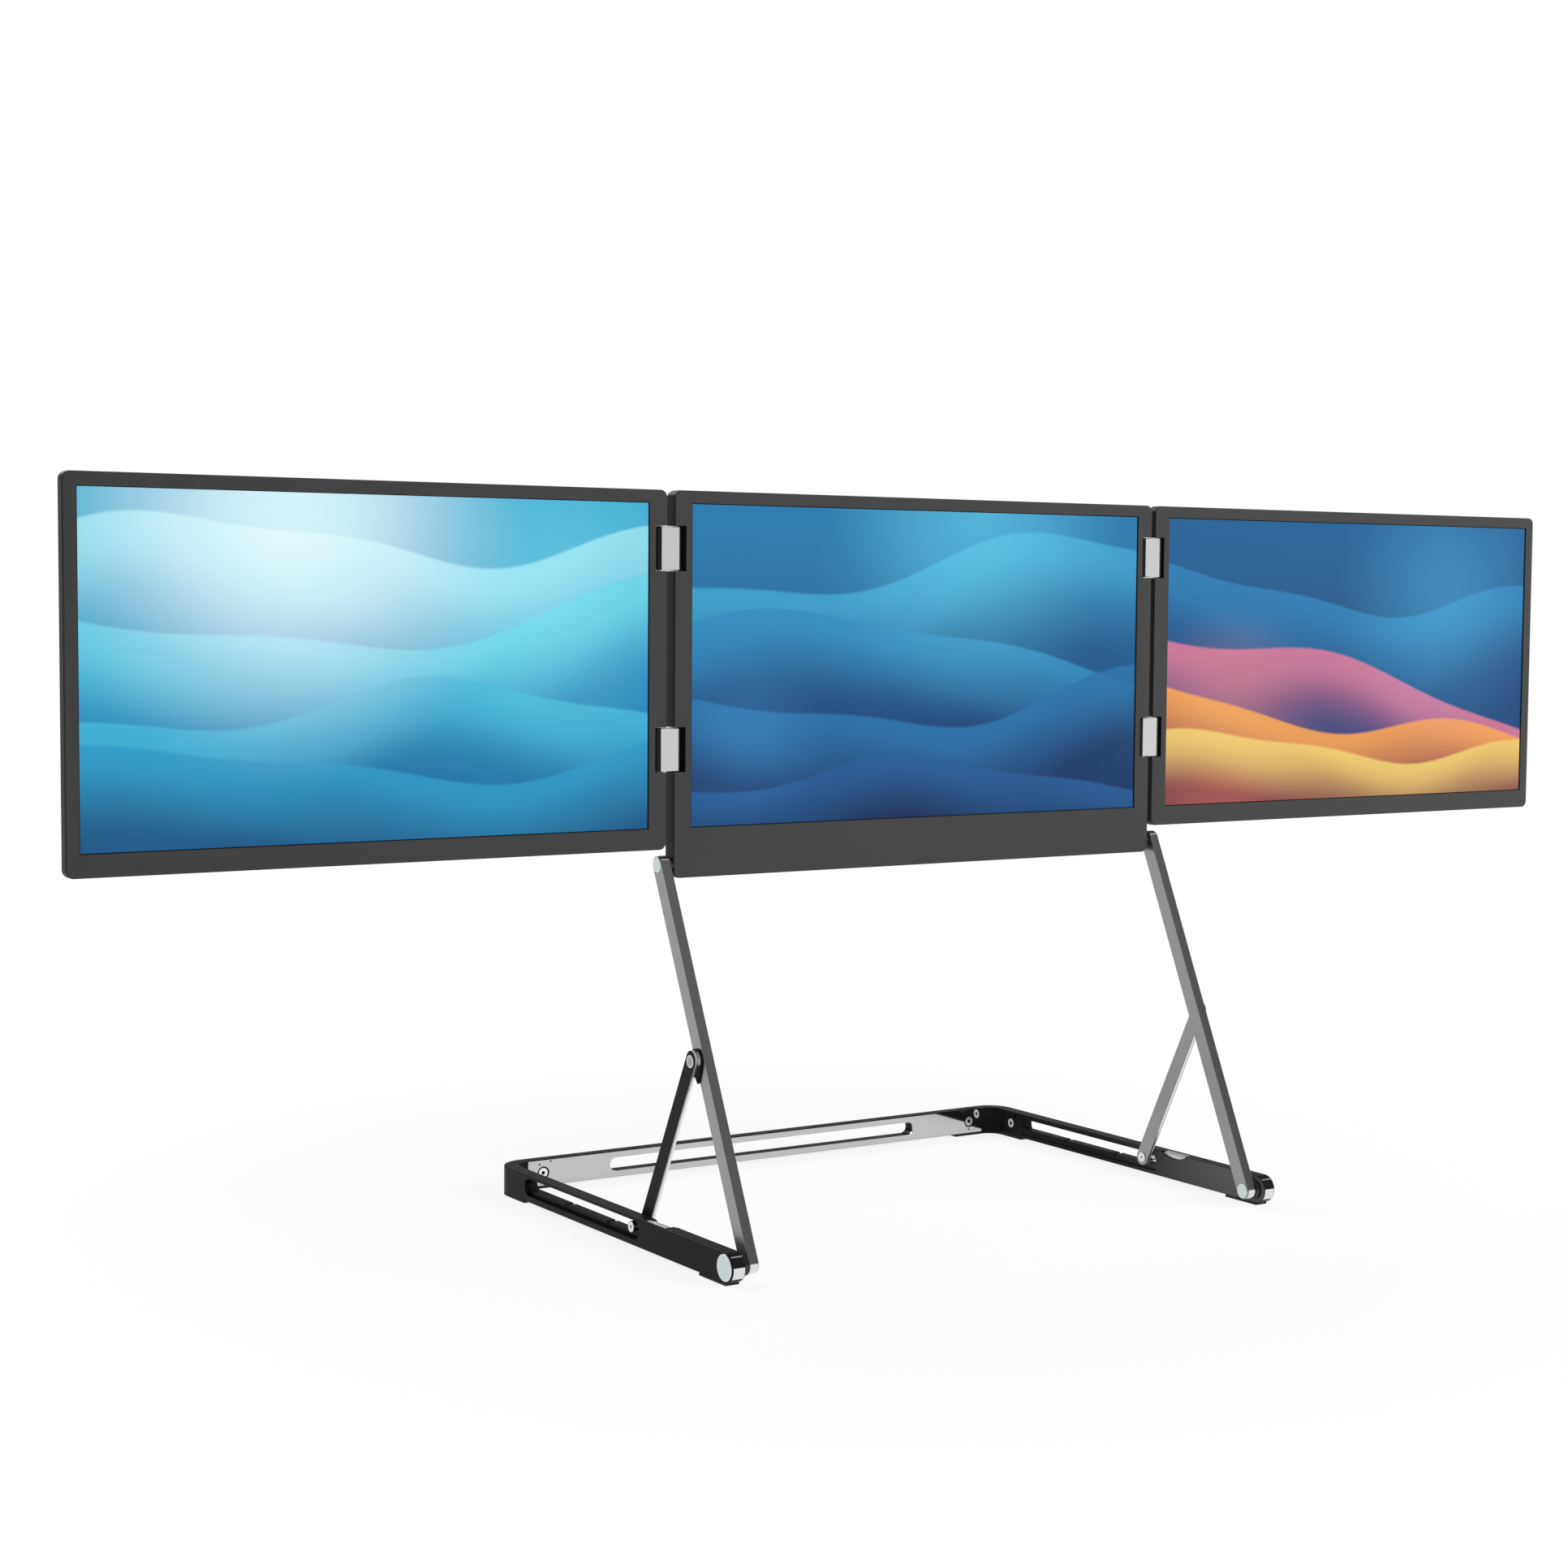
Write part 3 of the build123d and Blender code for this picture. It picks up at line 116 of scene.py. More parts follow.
# ---------------------------------------------------------------- work sheets for the shaders
class WorkSheet:
    """Lays out the nodes of one material or of the world."""

    def __init__(self, tree: bpy.types.NodeTree) -> None:
        """Clears the tree and starts with an empty sheet.

        Args:
            tree: The node tree to fill.
        """
        self.tree = tree
        tree.nodes.clear()

    def node(self, kind: str, feeds: Mapping[str | int, object], **settings: object) -> bpy.types.Node:
        """Adds a node, sets its properties and then feeds its inputs.

        Args:
            kind: The node's class, without the ShaderNode in front.
            feeds: What goes into its inputs.
            settings: Properties to set on it.

        Returns:
            The new node.
        """
        made = self.tree.nodes.new("ShaderNode" + kind)
        for name, value in settings.items():
            setattr(made, name, value)
        for name, value in feeds.items():
            self.feed(made.inputs[name], value)
        return made

    def feed(self, socket: Socket, value: object) -> None:
        """Links a socket, or sets a plain value on it.

        Args:
            socket: The input to feed.
            value: Another node's output, a number, or the parts of a colour or vector.
        """
        if isinstance(value, bpy.types.NodeSocket):
            self.tree.links.new(value, socket)
        elif socket.type == "RGBA":
            socket.default_value = (*value, 1.0)
        else:
            socket.default_value = value

    def math(self, work: str, *values: Value, clamp: bool = False) -> Socket:
        """Result of a Math node.

        Args:
            work: The operation.
            values: Its inputs, in order.
            clamp: Keeps the result between 0 and 1.

        Returns:
            Its output.
        """
        return self.node("Math", dict(enumerate(values)), operation=work, use_clamp=clamp).outputs[0]

    def wave(self, value: Socket, bends: float, phase: Value = 0.0) -> Socket:
        """Sine of a value that is first multiplied by the bends, with the phase added."""
        return self.math("SINE", self.math("MULTIPLY_ADD", value, bends, phase))

    def fade(self, value: Value, low: float, high: float, first: float = 0.0, last: float = 1.0) -> Socket:
        """Soft step of a value.

        Args:
            value: What is measured.
            low: Where the step starts.
            high: Where it ends.
            first: Result before the step.
            last: Result after it.

        Returns:
            The stepped value.
        """
        feeds = {"Value": value, "From Min": low, "From Max": high, "To Min": first, "To Max": last}
        return self.node("MapRange", feeds, interpolation_type="SMOOTHSTEP").outputs["Result"]

    def blend(self, share: Value, first: object, second: object, way: str = "MIX") -> Socket:
        """Mixes two colours.

        Args:
            share: How much of the second shows.
            first: Colour or socket under it.
            second: Colour or socket over it.
            way: Blend type.

        Returns:
            The mixed colour.
        """
        feeds = {"Factor": share, "A": first, "B": second}
        return self.node("Mix", feeds, data_type="RGBA", blend_type=way).outputs["Result"]

    def weigh(self, first: Socket, second: Socket, share: float) -> Socket:
        """Weighted mean of two values, with that share of the first."""
        return self.math("MULTIPLY_ADD", first, share, self.math("MULTIPLY", second, 1 - share))

    def place(self, scale: Sequence[float] = (1, 1, 1), turn: float = 0.0,
              centre: Sequence[float] = (0, 0, 0)) -> Socket:
        """Object coordinates in metres, shifted, then turned, then stretched.

        Args:
            scale: Stretch along each axis.
            turn: Turn about X, in degrees.
            centre: Point in millimetres that becomes the origin.

        Returns:
            The mapped position.
        """
        where = self.node("TexCoord", {}).outputs["Object"]
        if any(centre):
            where = self.node("VectorMath", {0: where, 1: at(*centre)}, operation="SUBTRACT").outputs[0]
        if turn:
            where = self.node("Mapping", {"Vector": where, "Rotation": (radians(turn), 0, 0)}).outputs[0]
        return self.node("VectorMath", {0: where, 1: scale}, operation="MULTIPLY").outputs[0]

    def parts(self, where: Socket) -> tuple[Socket, Socket, Socket]:
        """X, Y and Z of a position."""
        return tuple(self.node("SeparateXYZ", {0: where}).outputs)

    def length(self, where: Socket, start: Sequence[float] = (0, 0, 0)) -> Socket:
        """Distance of a position from a starting point."""
        return self.node("VectorMath", {0: where, 1: start}, operation="DISTANCE").outputs["Value"]

    def noise(self, where: Socket, scale: float, detail: float, rough: float = 0.5) -> Socket:
        """Soft noise around 0.5.

        Args:
            where: Position to read it at.
            scale: Grains per unit of that position.
            detail: Octaves.
            rough: Strength of the finer octaves.

        Returns:
            The noise value.
        """
        feeds = {"Vector": where, "Scale": scale, "Detail": detail, "Roughness": rough}
        return self.node("TexNoise", feeds).outputs["Fac"]


class Surface(WorkSheet):
    """Work sheet of a material, with its surface shader. Its places and widths are millimetres."""

    def __init__(self, tree: bpy.types.NodeTree) -> None:
        """Starts with the shader and the material's output.

        Args:
            tree: The material's node tree.
        """
        super().__init__(tree)
        self.shader = self.node("BsdfPrincipled", {})
        self.node("OutputMaterial", {"Surface": self.shader.outputs[0]})

    def set(self, name: str, value: object) -> None:
        """Feeds an input of the shader."""
        self.feed(self.shader.inputs[name], value)

    def cover(self, share: Socket, colour: Colour) -> None:
        """Lays a colour over the shader's present one, as strongly as the share says."""
        under = self.shader.inputs["Base Color"].links[0].from_socket
        self.set("Base Color", self.blend(share, under, colour))

    def emboss(self, height: Socket, depth: float, strength: float) -> None:
        """Lays a relief over the shader's present one.

        Args:
            height: Height from 0 to 1.
            depth: Depth of the relief in millimetres.
            strength: Share of it that shows.
        """
        feeds = {"Height": height, "Distance": depth * MILLIMETRE, "Strength": strength}
        earlier = self.shader.inputs["Normal"].links
        if earlier:
            feeds["Normal"] = earlier[0].from_socket
        self.set("Normal", self.node("Bump", feeds).outputs["Normal"])

    def reach(self, axis: Axis) -> Socket:
        """Distance from the origin along one axis, in metres, the same to both sides."""
        return self.length(self.place(axis.value))

    def past(self, value: Socket, place: float, soft: float) -> Socket:
        """Share that rises from 0 to 1 where a value passes a place, soft to each side of it."""
        return self.fade(value, (place - soft) * MILLIMETRE, (place + soft) * MILLIMETRE)

    def before(self, value: Socket, place: float, soft: float) -> Socket:
        """Share that falls from 1 to 0 where a value passes a place, soft to each side of it."""
        return self.fade(value, (place - soft) * MILLIMETRE, (place + soft) * MILLIMETRE, 1.0, 0.0)

    def near(self, value: Socket, place: float, full: float, gone: float, strength: float = 1.0) -> Socket:
        """Share that is strongest close to a place.

        Args:
            value: What is measured, in metres.
            place: The place, in millimetres.
            full: Distance from it up to which the share is full, in millimetres.
            gone: Distance where it has faded out, in millimetres.
            strength: The full share.

        Returns:
            The share.
        """
        away = self.math("ABSOLUTE", self.math("SUBTRACT", value, place * MILLIMETRE))
        return self.fade(away, full * MILLIMETRE, gone * MILLIMETRE, strength, 0.0)


# ---------------------------------------------------------------- finishes
@dataclass(frozen=True)
class Change:
    """Other colour of a finish on one side of a place, here always painted light: a painted highlight on an
    edge, or painted shade.

    Args:
        colour: The other colour.
        place: Where it starts or ends, in millimetres from the origin.
        soft: Half the width of the change, in millimetres.
        inside: True if the other colour lies on the origin's side of the place.
        axis: Axis along which the place is measured.
    """

    colour: Colour
    place: float
    soft: float
    inside: bool = False
    axis: Axis = Axis.ACROSS

    def apply(self, sheet: Surface) -> None:
        """Lays the other colour over what the finish has painted."""
        step = sheet.before if self.inside else sheet.past
        sheet.cover(step(sheet.reach(self.axis), self.place, self.soft), self.colour)


@dataclass(frozen=True)
class Finish:
    """Finish of a surface: its name, its plain shader values and its pattern.

    Args:
        name: Name of the material.
        colour: Main colour in linear light.
        roughness: Mean roughness.
        metallic: 1 for bare metal, 0 for anything else.
        specular: Level of the surface's own gloss.
        changes: Places beyond which it has another colour.
    """

    name: str
    colour: Colour
    roughness: float
    metallic: float = 0.0
    specular: float = 0.5
    changes: tuple[Change, ...] = ()

    def material(self) -> bpy.types.Material:
        """Makes the material, or finds the one made before.

        Returns:
            The material.
        """
        made = bpy.data.materials.get(self.name + "_finish")
        if made is None:
            made = bpy.data.materials.new(self.name + "_finish")
            made.use_nodes = True
            made.diffuse_color = (*self.colour, 1.0)
            sheet = Surface(made.node_tree)
            sheet.set("Base Color", self.colour)
            sheet.set("Roughness", self.roughness)
            sheet.set("Metallic", self.metallic)
            sheet.set("Specular IOR Level", self.specular)
            self.pattern(sheet)
            for change in self.changes:
                change.apply(sheet)
        return made

    def pattern(self, sheet: Surface) -> None:
        """Draws the detail of the finish, which each kind of finish does in its own way."""
        raise NotImplementedError(self.name)

    def vary(self, sheet: Surface, cloud: Socket, colour_swing: float, gloss_swing: float) -> None:
        """Lets colour and roughness follow a noise.

        Args:
            sheet: Work sheet of the material.
            cloud: Noise around 0.5.
            colour_swing: Share by which the colour swings each way.
            gloss_swing: Amount by which the roughness swings each way.
        """
        dark = tuple(part * (1 - colour_swing) for part in self.colour)
        pale = tuple(min(1.0, part * (1 + colour_swing)) for part in self.colour)
        sheet.set("Base Color", sheet.blend(sheet.fade(cloud, low=0.3, high=0.7), dark, pale))
        glossy = max(0.02, self.roughness - gloss_swing)
        dull = min(1.0, self.roughness + gloss_swing)
        sheet.set("Roughness", sheet.fade(cloud, low=0.25, high=0.75, first=glossy, last=dull))


@dataclass(frozen=True)
class MouldedPlastic(Finish):
    """Fine-grained moulded plastic.

    Args:
        grain: Size of one grain in millimetres.
        grain_depth: Depth of the grain in millimetres.
    """

    grain: float = 0.35
    grain_depth: float = 0.012

    def pattern(self, sheet: Surface) -> None:
        """Spark-eroded grain over a slow cloud of colour.

        Args:
            sheet: Work sheet of the material.
        """
        place = sheet.place()
        cloud = sheet.noise(place, scale=14.0, detail=3.0)
        grain = sheet.noise(place, scale=1 / (self.grain * MILLIMETRE), detail=2.0, rough=0.6)
        self.vary(sheet, sheet.weigh(grain, cloud, 0.45), colour_swing=0.04, gloss_swing=0.05)
        sheet.emboss(grain, depth=self.grain_depth, strength=0.6)


@dataclass(frozen=True)
class CasingPlastic(MouldedPlastic):
    """Moulded plastic of the casings, with painted shade darkening their narrow ends.

    Args:
        ends: Distances of the ends from the middle, in millimetres.
        end_shade: Share of the colour that the painted shade takes away there.
    """

    ends: tuple[float, ...] = (184.0, 188.1, 552.0)
    end_shade: float = 0.70

    def pattern(self, sheet: Surface) -> None:
        """Fine grain, with painted shade darkening the ends.

        Args:
            sheet: Work sheet of the material.
        """
        super().pattern(sheet)
        reach = sheet.reach(Axis.ACROSS)
        for end in self.ends:
            # painted shade: each narrow end is darkened towards black
            sheet.cover(sheet.near(reach, end, full=0.15, gone=0.55, strength=self.end_shade), BLACK)


@dataclass(frozen=True)
class GlossPaint(Finish):
    """Polished dark paint with a trace of orange peel and hairline wipe marks.

    Args:
        wipe_scale: Wipe marks per metre along X, Y and Z.
        peel_depth: Depth of the orange peel in millimetres.
    """

    wipe_scale: Triple = (40.0, 900.0, 900.0)
    peel_depth: float = 0.012

    def pattern(self, sheet: Surface) -> None:
        """Orange peel in the relief, wipe marks and dust in the gloss.

        Args:
            sheet: Work sheet of the material.
        """
        wipe = sheet.noise(sheet.place(self.wipe_scale), scale=1.0, detail=4.0, rough=0.65)
        self.vary(sheet, wipe, colour_swing=0.08, gloss_swing=self.roughness * 0.30)
        peel = sheet.noise(sheet.place(), scale=420.0, detail=1.0)
        sheet.emboss(peel, depth=self.peel_depth, strength=0.35)


@dataclass(frozen=True)
class SheenPaint(GlossPaint):
    """Gloss paint with a painted sheen on the bars' inner faces, stronger towards the knuckles.

    Args:
        face: Distance of the inner faces from the middle, in millimetres.
        run: Y where the painted sheen is full and where it ends, in millimetres.
        sheen: Colour of the full painted sheen.
    """

    face: float = 197.1
    run: Pair = (-140.0, 20.0)
    sheen: Colour = grey(128)

    def pattern(self, sheet: Surface) -> None:
        """Wipe marks of the paint, with the painted sheen laid over them.

        Args:
            sheet: Work sheet of the material.
        """
        super().pattern(sheet)
        inner = sheet.near(sheet.reach(Axis.ACROSS), self.face, full=0.10, gone=0.25)
        full, gone = (end * MILLIMETRE for end in self.run)
        along = sheet.fade(sheet.parts(sheet.place())[1], full, gone, 1.0, 0.0)
        # painted highlight: a pale sheen laid into the colour of the inner faces
        sheet.cover(sheet.math("MULTIPLY", inner, along), self.sheen)


@dataclass(frozen=True)
class BrushedMetal(Finish):
    """Metal with fine lines from brushing.

    Args:
        turn: Turn about X in degrees that lays the lines along Y.
        along: Axis that the lines follow after the turn.
        line_width: Width of one line in millimetres.
        line_length: Length of one line in millimetres.
        depth: Depth of the lines in millimetres.
        swing: Share by which the lines change the colour.
    """

    turn: float = 0.0
    along: Axis = Axis.ALONG
    line_width: float = 0.12
    line_length: float = 22.0
    depth: float = 0.002
    swing: float = 0.04

    def pattern(self, sheet: Surface) -> None:
        """Long fine lines in colour, gloss and relief over a slow satin cloud.

        Args:
            sheet: Work sheet of the material.
        """
        fine = 1 / (self.line_width * MILLIMETRE)
        long = 1 / (self.line_length * MILLIMETRE)
        scale = tuple(long if part else fine for part in self.along.value)
        lines = sheet.noise(sheet.place(scale, self.turn), scale=1.0, detail=3.0, rough=0.55)
        cloud = sheet.noise(sheet.place(), scale=30.0, detail=2.0)
        self.vary(sheet, sheet.weigh(lines, cloud, 0.7), self.swing, self.roughness * 0.2)
        sheet.emboss(lines, depth=self.depth, strength=0.5)


@dataclass(frozen=True)
class TurnedMetal(Finish):
    """Face-turned metal with fine rings about an axis along X.

    Args:
        centre: Y and Z of the axis, in millimetres.
        pitch: Distance between the rings in millimetres.
        core: Radius of the darker middle in millimetres.
        core_colour: Colour of that middle.
        rim: Radius in millimetres from which the rim is paler; on the caps, a painted highlight of their
            edge.
        rim_colour: Colour of the rim.
        soft: Half the width of the change to either, in millimetres.
    """

    centre: Pair = (0.0, 0.0)
    pitch: float = 0.22
    core: float = 0.0
    core_colour: Colour = (0.02, 0.02, 0.02)
    rim: float = 50.0
    rim_colour: Colour = WHITE
    soft: float = 0.12

    def pattern(self, sheet: Surface) -> None:
        """Rings in the relief, and a soft haze in colour and gloss.

        Args:
            sheet: Work sheet of the material.
        """
        reach = sheet.length(sheet.place((0, 1, 1), centre=(0, *self.centre)))
        rings = sheet.wave(reach, tau / (self.pitch * MILLIMETRE))
        haze = sheet.noise(sheet.place(), scale=300.0, detail=3.0)
        self.vary(sheet, sheet.math("MULTIPLY_ADD", rings, 0.10, haze), colour_swing=0.03, gloss_swing=0.05)
        sheet.cover(sheet.before(reach, self.core, self.soft), self.core_colour)
        sheet.cover(sheet.past(reach, self.rim, self.soft), self.rim_colour)
        sheet.emboss(rings, depth=0.0015, strength=0.35)


@dataclass(frozen=True)
class MachinedMetal(Finish):
    """Plain machined metal of small parts."""

    def pattern(self, sheet: Surface) -> None:
        """Fine tooth in relief, faint stains in colour and gloss.

        Args:
            sheet: Work sheet of the material.
        """
        place = sheet.place()
        stains = sheet.noise(place, scale=500.0, detail=4.0, rough=0.6)
        self.vary(sheet, stains, colour_swing=0.10, gloss_swing=0.08)
        sheet.emboss(sheet.noise(place, scale=4200.0, detail=1.0), depth=0.002, strength=0.5)


@dataclass(frozen=True)
class SocketScrewMetal(Finish):
    """Pale screw heads with painted shade in their sockets, on the inner sides of the bars and on the
    crossbar.

    Args:
        side_centre: Y and Z of the side bars' screws, in millimetres.
        rear_centre: Distance from the middle and Z of the crossbar's screws, in millimetres.
        socket: Radius of the socket in millimetres.
        hollow_shade: Colour in the socket, painted shade.
    """

    side_centre: Pair = (118.95, 10.3)
    rear_centre: Pair = (175.0, 10.3)
    socket: float = 1.25
    hollow_shade: Colour = (0.01, 0.01, 0.01)

    def pattern(self, sheet: Surface) -> None:
        """Stains in colour and gloss, with painted shade inside the sockets.

        Args:
            sheet: Work sheet of the material.
        """
        place = sheet.place()
        stains = sheet.noise(place, scale=500.0, detail=4.0, rough=0.6)
        self.vary(sheet, stains, colour_swing=0.05, gloss_swing=0.06)
        _, along, up = sheet.parts(place)
        reach = sheet.reach(Axis.ACROSS)
        away = []
        for across, (middle, height) in ((along, self.side_centre), (reach, self.rear_centre)):
            spot = sheet.node("CombineXYZ", {0: across, 1: up}).outputs[0]
            away.append(sheet.length(spot, at(middle, height, 0)))
        # painted shade: the sockets are darkened to near black
        sheet.cover(sheet.before(sheet.math("MINIMUM", *away), self.socket, soft=0.1), self.hollow_shade)


@dataclass(frozen=True)
class RibbedRubber(Finish):
    """Soft rubber with moulded ribs across the foot.

    Args:
        pitch: Distance between the ribs in millimetres.
    """

    pitch: float = 1.6

    def pattern(self, sheet: Surface) -> None:
        """Ribs and a dusty grain.

        Args:
            sheet: Work sheet of the material.
        """
        place = sheet.place()
        ribs = sheet.wave(sheet.parts(place)[1], tau / (self.pitch * MILLIMETRE))
        dust = sheet.noise(place, scale=900.0, detail=4.0, rough=0.7)
        self.vary(sheet, dust, colour_swing=0.25, gloss_swing=0.06)
        sheet.emboss(sheet.fade(ribs, -0.3, 0.6), depth=0.18, strength=0.7)
        sheet.emboss(dust, depth=0.03, strength=0.4)


@dataclass(frozen=True)
class WovenMesh(Finish):
    """Dark woven dust mesh.

    Args:
        pitch: Distance between threads in millimetres.
        hollow_shade: Colour in the holes, painted shade of the dark inside behind the mesh.
    """

    pitch: float = 0.6
    hollow_shade: Colour = (0.002, 0.002, 0.002)

    def pattern(self, sheet: Surface) -> None:
        """Crossing threads, with painted shade in the holes between them.

        Args:
            sheet: Work sheet of the material.
        """
        across, _, up = sheet.parts(sheet.place())
        step = tau / 2 / (self.pitch * MILLIMETRE)
        rises = [sheet.math("ABSOLUTE", sheet.wave(reach, step)) for reach in (across, up)]
        hole = sheet.math("MULTIPLY", *(sheet.fade(rise, 0.35, 0.6) for rise in rises))
        # painted shade: the holes are near black, for the dark inside behind the mesh
        sheet.set("Base Color", sheet.blend(hole, self.colour, self.hollow_shade))
        sheet.emboss(hole, depth=-0.1, strength=0.8)


@dataclass(frozen=True)
class CircuitLaminate(Finish):
    """Green circuit board with copper islands under the lacquer.

    Args:
        gain: How much paler the copper is than the board.
    """

    gain: float = 1.9

    def pattern(self, sheet: Surface) -> None:
        """Square copper islands, with the green of the board between them.

        Args:
            sheet: Work sheet of the material.
        """
        cells = sheet.node("TexVoronoi", {"Vector": sheet.place(), "Scale": 420.0}, distance="MANHATTAN")
        board = sheet.fade(cells.outputs["Distance"], 0.32, 0.36)
        copper = tuple(part * self.gain for part in self.colour)
        sheet.set("Base Color", sheet.blend(board, copper, self.colour))
        sheet.emboss(board, depth=0.03, strength=0.5)


@dataclass(frozen=True)
class LightGuide(Finish):
    """Milky light guide with a dot screen printed on its back.

    Args:
        dot: Colour of the dots.
    """

    dot: Colour = (0.95, 0.95, 0.92)

    def pattern(self, sheet: Surface) -> None:
        """Regular dots, finer than a finger's width.

        Args:
            sheet: Work sheet of the material.
        """
        cells = sheet.node("TexVoronoi", {"Vector": sheet.place(), "Scale": 900.0, "Randomness": 0.0})
        dots = sheet.fade(cells.outputs["Distance"], 0.25, 0.35)
        sheet.set("Base Color", sheet.blend(dots, self.dot, self.colour))


@dataclass(frozen=True)
class Fold:
    """One soft fold of the picture, from its crest downwards. Lengths are in picture heights.

    Args:
        height: Height of the crest at the picture's left edge.
        rise: Rise of the crest per picture height across.
        swing: Height of its waves.
        bends: Angle of its waves per picture height across, in radians.
        phase: Angle at the left edge, in radians.
        crest: Colour at the crest.
        depth: Colour below it.
        reach: How far down the crest's colour fades.
        cover: Share of the colour under it that it hides.
        edge: Softness of the crest line.
        ripple: Bends, phase and swing of the ripples on its waves, as multiples of the waves' own.
        streaks: Angle of the fine streaks per picture height down, how far the waves shift them, and
            their strength.
    """

    height: float
    rise: float
    swing: float
    bends: float
    phase: float
    crest: Colour
    depth: Colour
    reach: float
    cover: float = 0.85
    edge: float = 0.012
    ripple: Triple = (2.3, 1.7, 0.28)
    streaks: Triple = (26.0, 3.0, 0.035)


@dataclass(frozen=True)
class Glow:
    """Soft round light in the picture. Lengths are in picture heights.

    Args:
        across: Its place from the left edge.
        up: Its place from the foot.
        radius: Where it has faded out.
        colour: Its colour.
        share: Its strength at the middle.
    """

    across: float
    up: float
    radius: float
    colour: Colour
    share: float


@dataclass(frozen=True)
class LitPicture(Finish):
    """Lit display behind matt glass, with a drapery of soft folds of colour.

    Args:
        middle: X of the picture's middle.
        width: Width of the picture.
        foot: Height of the picture's foot.
        height: Height of the picture.
        top: Colour of the ground at the top.
        floor: Colour of the ground at the foot.
        folds: Folds, from the back to the front.
        glows: Lights laid over the folds.
    """

    colour: Colour = (0.004, 0.005, 0.006)
    roughness: float = 0.35
    specular: float = 0.2
    middle: float = 0.0
    width: float = 344.2
    foot: float = 252.623
    height: float = 193.6
    top: Colour = WHITE
    floor: Colour = BLACK
    folds: tuple[Fold, ...] = ()
    glows: tuple[Glow, ...] = ()

    def pattern(self, sheet: Surface) -> None:
        """Paints ground, folds and lights into the display's own light.

        Args:
            sheet: Work sheet of the material.
        """
        scale = 1 / (self.height * MILLIMETRE)
        place = sheet.place((scale, 0, scale), centre=(self.middle - self.width / 2, 0, self.foot))
        across, _, up = sheet.parts(place)
        painted = sheet.blend(sheet.fade(up, 0.0, 1.0), self.floor, self.top)
        for fold in self.folds:
            painted = self.lay_fold(sheet, across, up, painted, fold)
        for glow in self.glows:
            away = sheet.length(place, (glow.across, 0.0, glow.up))
            share = sheet.fade(away, 0.0, glow.radius, glow.share, 0.0)
            painted = sheet.blend(share, painted, glow.colour, "SCREEN")
        sheet.set("Emission Color", painted)
        sheet.set("Emission Strength", 1.0)
        sheet.emboss(sheet.noise(sheet.place(), scale=9000.0, detail=1.0), depth=0.004, strength=0.3)

    @staticmethod
    def lay_fold(sheet: Surface, across: Socket, up: Socket, under: Socket, fold: Fold) -> Socket:
        """Paints one fold over what is there.

        Args:
            sheet: Work sheet of the material.
            across: Place across the picture.
            up: Place up the picture.
            under: Colour painted so far.
            fold: The fold.

        Returns:
            The new colour.
        """
        bends, phase, swing = fold.ripple
        wave = sheet.wave(across, fold.bends, fold.phase)
        ripple = sheet.wave(across, fold.bends * bends, fold.phase * phase)
        crest = sheet.math("MULTIPLY_ADD", across, fold.rise, fold.height)
        crest = sheet.math("MULTIPLY_ADD", wave, fold.swing, crest)
        crest = sheet.math("MULTIPLY_ADD", ripple, fold.swing * swing, crest)
        drop = sheet.math("SUBTRACT", crest, up)
        angle, shift, strength = fold.streaks
        streaks = sheet.wave(drop, angle, sheet.math("MULTIPLY", wave, shift))
        shade = sheet.math("MULTIPLY_ADD", streaks, strength, sheet.fade(drop, 0.0, fold.reach), clamp=True)
        tone = sheet.blend(shade, fold.crest, fold.depth)
        return sheet.blend(sheet.fade(drop, 0.0, fold.edge, 0.0, fold.cover), under, tone)


LEFT_PICTURE = LitPicture(
    "left_picture", middle=-372.4, top=tint(60, 170, 208), floor=tint(10, 82, 132),
    folds=(
        Fold(0.86, 0.02, 0.07, 3.4, 0.6, tint(150, 226, 240), tint(30, 150, 196), 0.40),
        Fold(0.60, 0.06, 0.09, 2.6, 2.4, tint(96, 206, 230), tint(18, 128, 180), 0.36),
        Fold(0.42, -0.03, 0.08, 3.1, 4.2, tint(62, 178, 214), tint(12, 104, 158), 0.34),
        Fold(0.22, 0.02, 0.07, 2.9, 1.2, tint(40, 150, 196), tint(10, 76, 124), 0.30),
    ),
    glows=(
        Glow(0.62, 0.94, 0.80, tint(226, 248, 252), 0.85),
        Glow(1.45, 0.70, 0.55, tint(120, 214, 234), 0.35),
    ),
)
CENTRE_PICTURE = LitPicture(
    "centre_picture", middle=0.0, top=tint(34, 120, 172), floor=tint(6, 42, 92),
    folds=(
        Fold(0.80, 0.03, 0.09, 2.7, 3.9, tint(60, 160, 206), tint(12, 84, 140), 0.38),
        Fold(0.58, -0.02, 0.10, 2.3, 0.4, tint(44, 138, 190), tint(8, 62, 116), 0.34),
        Fold(0.34, 0.05, 0.08, 2.9, 2.0, tint(30, 112, 170), tint(6, 46, 98), 0.32),
        Fold(0.16, -0.02, 0.06, 3.3, 5.0, tint(24, 90, 150), tint(4, 32, 76), 0.26),
    ),
    glows=(
        Glow(1.10, 0.98, 0.70, tint(90, 190, 226), 0.55),
        Glow(0.20, 0.30, 0.35, tint(60, 130, 190), 0.25),
    ),
)
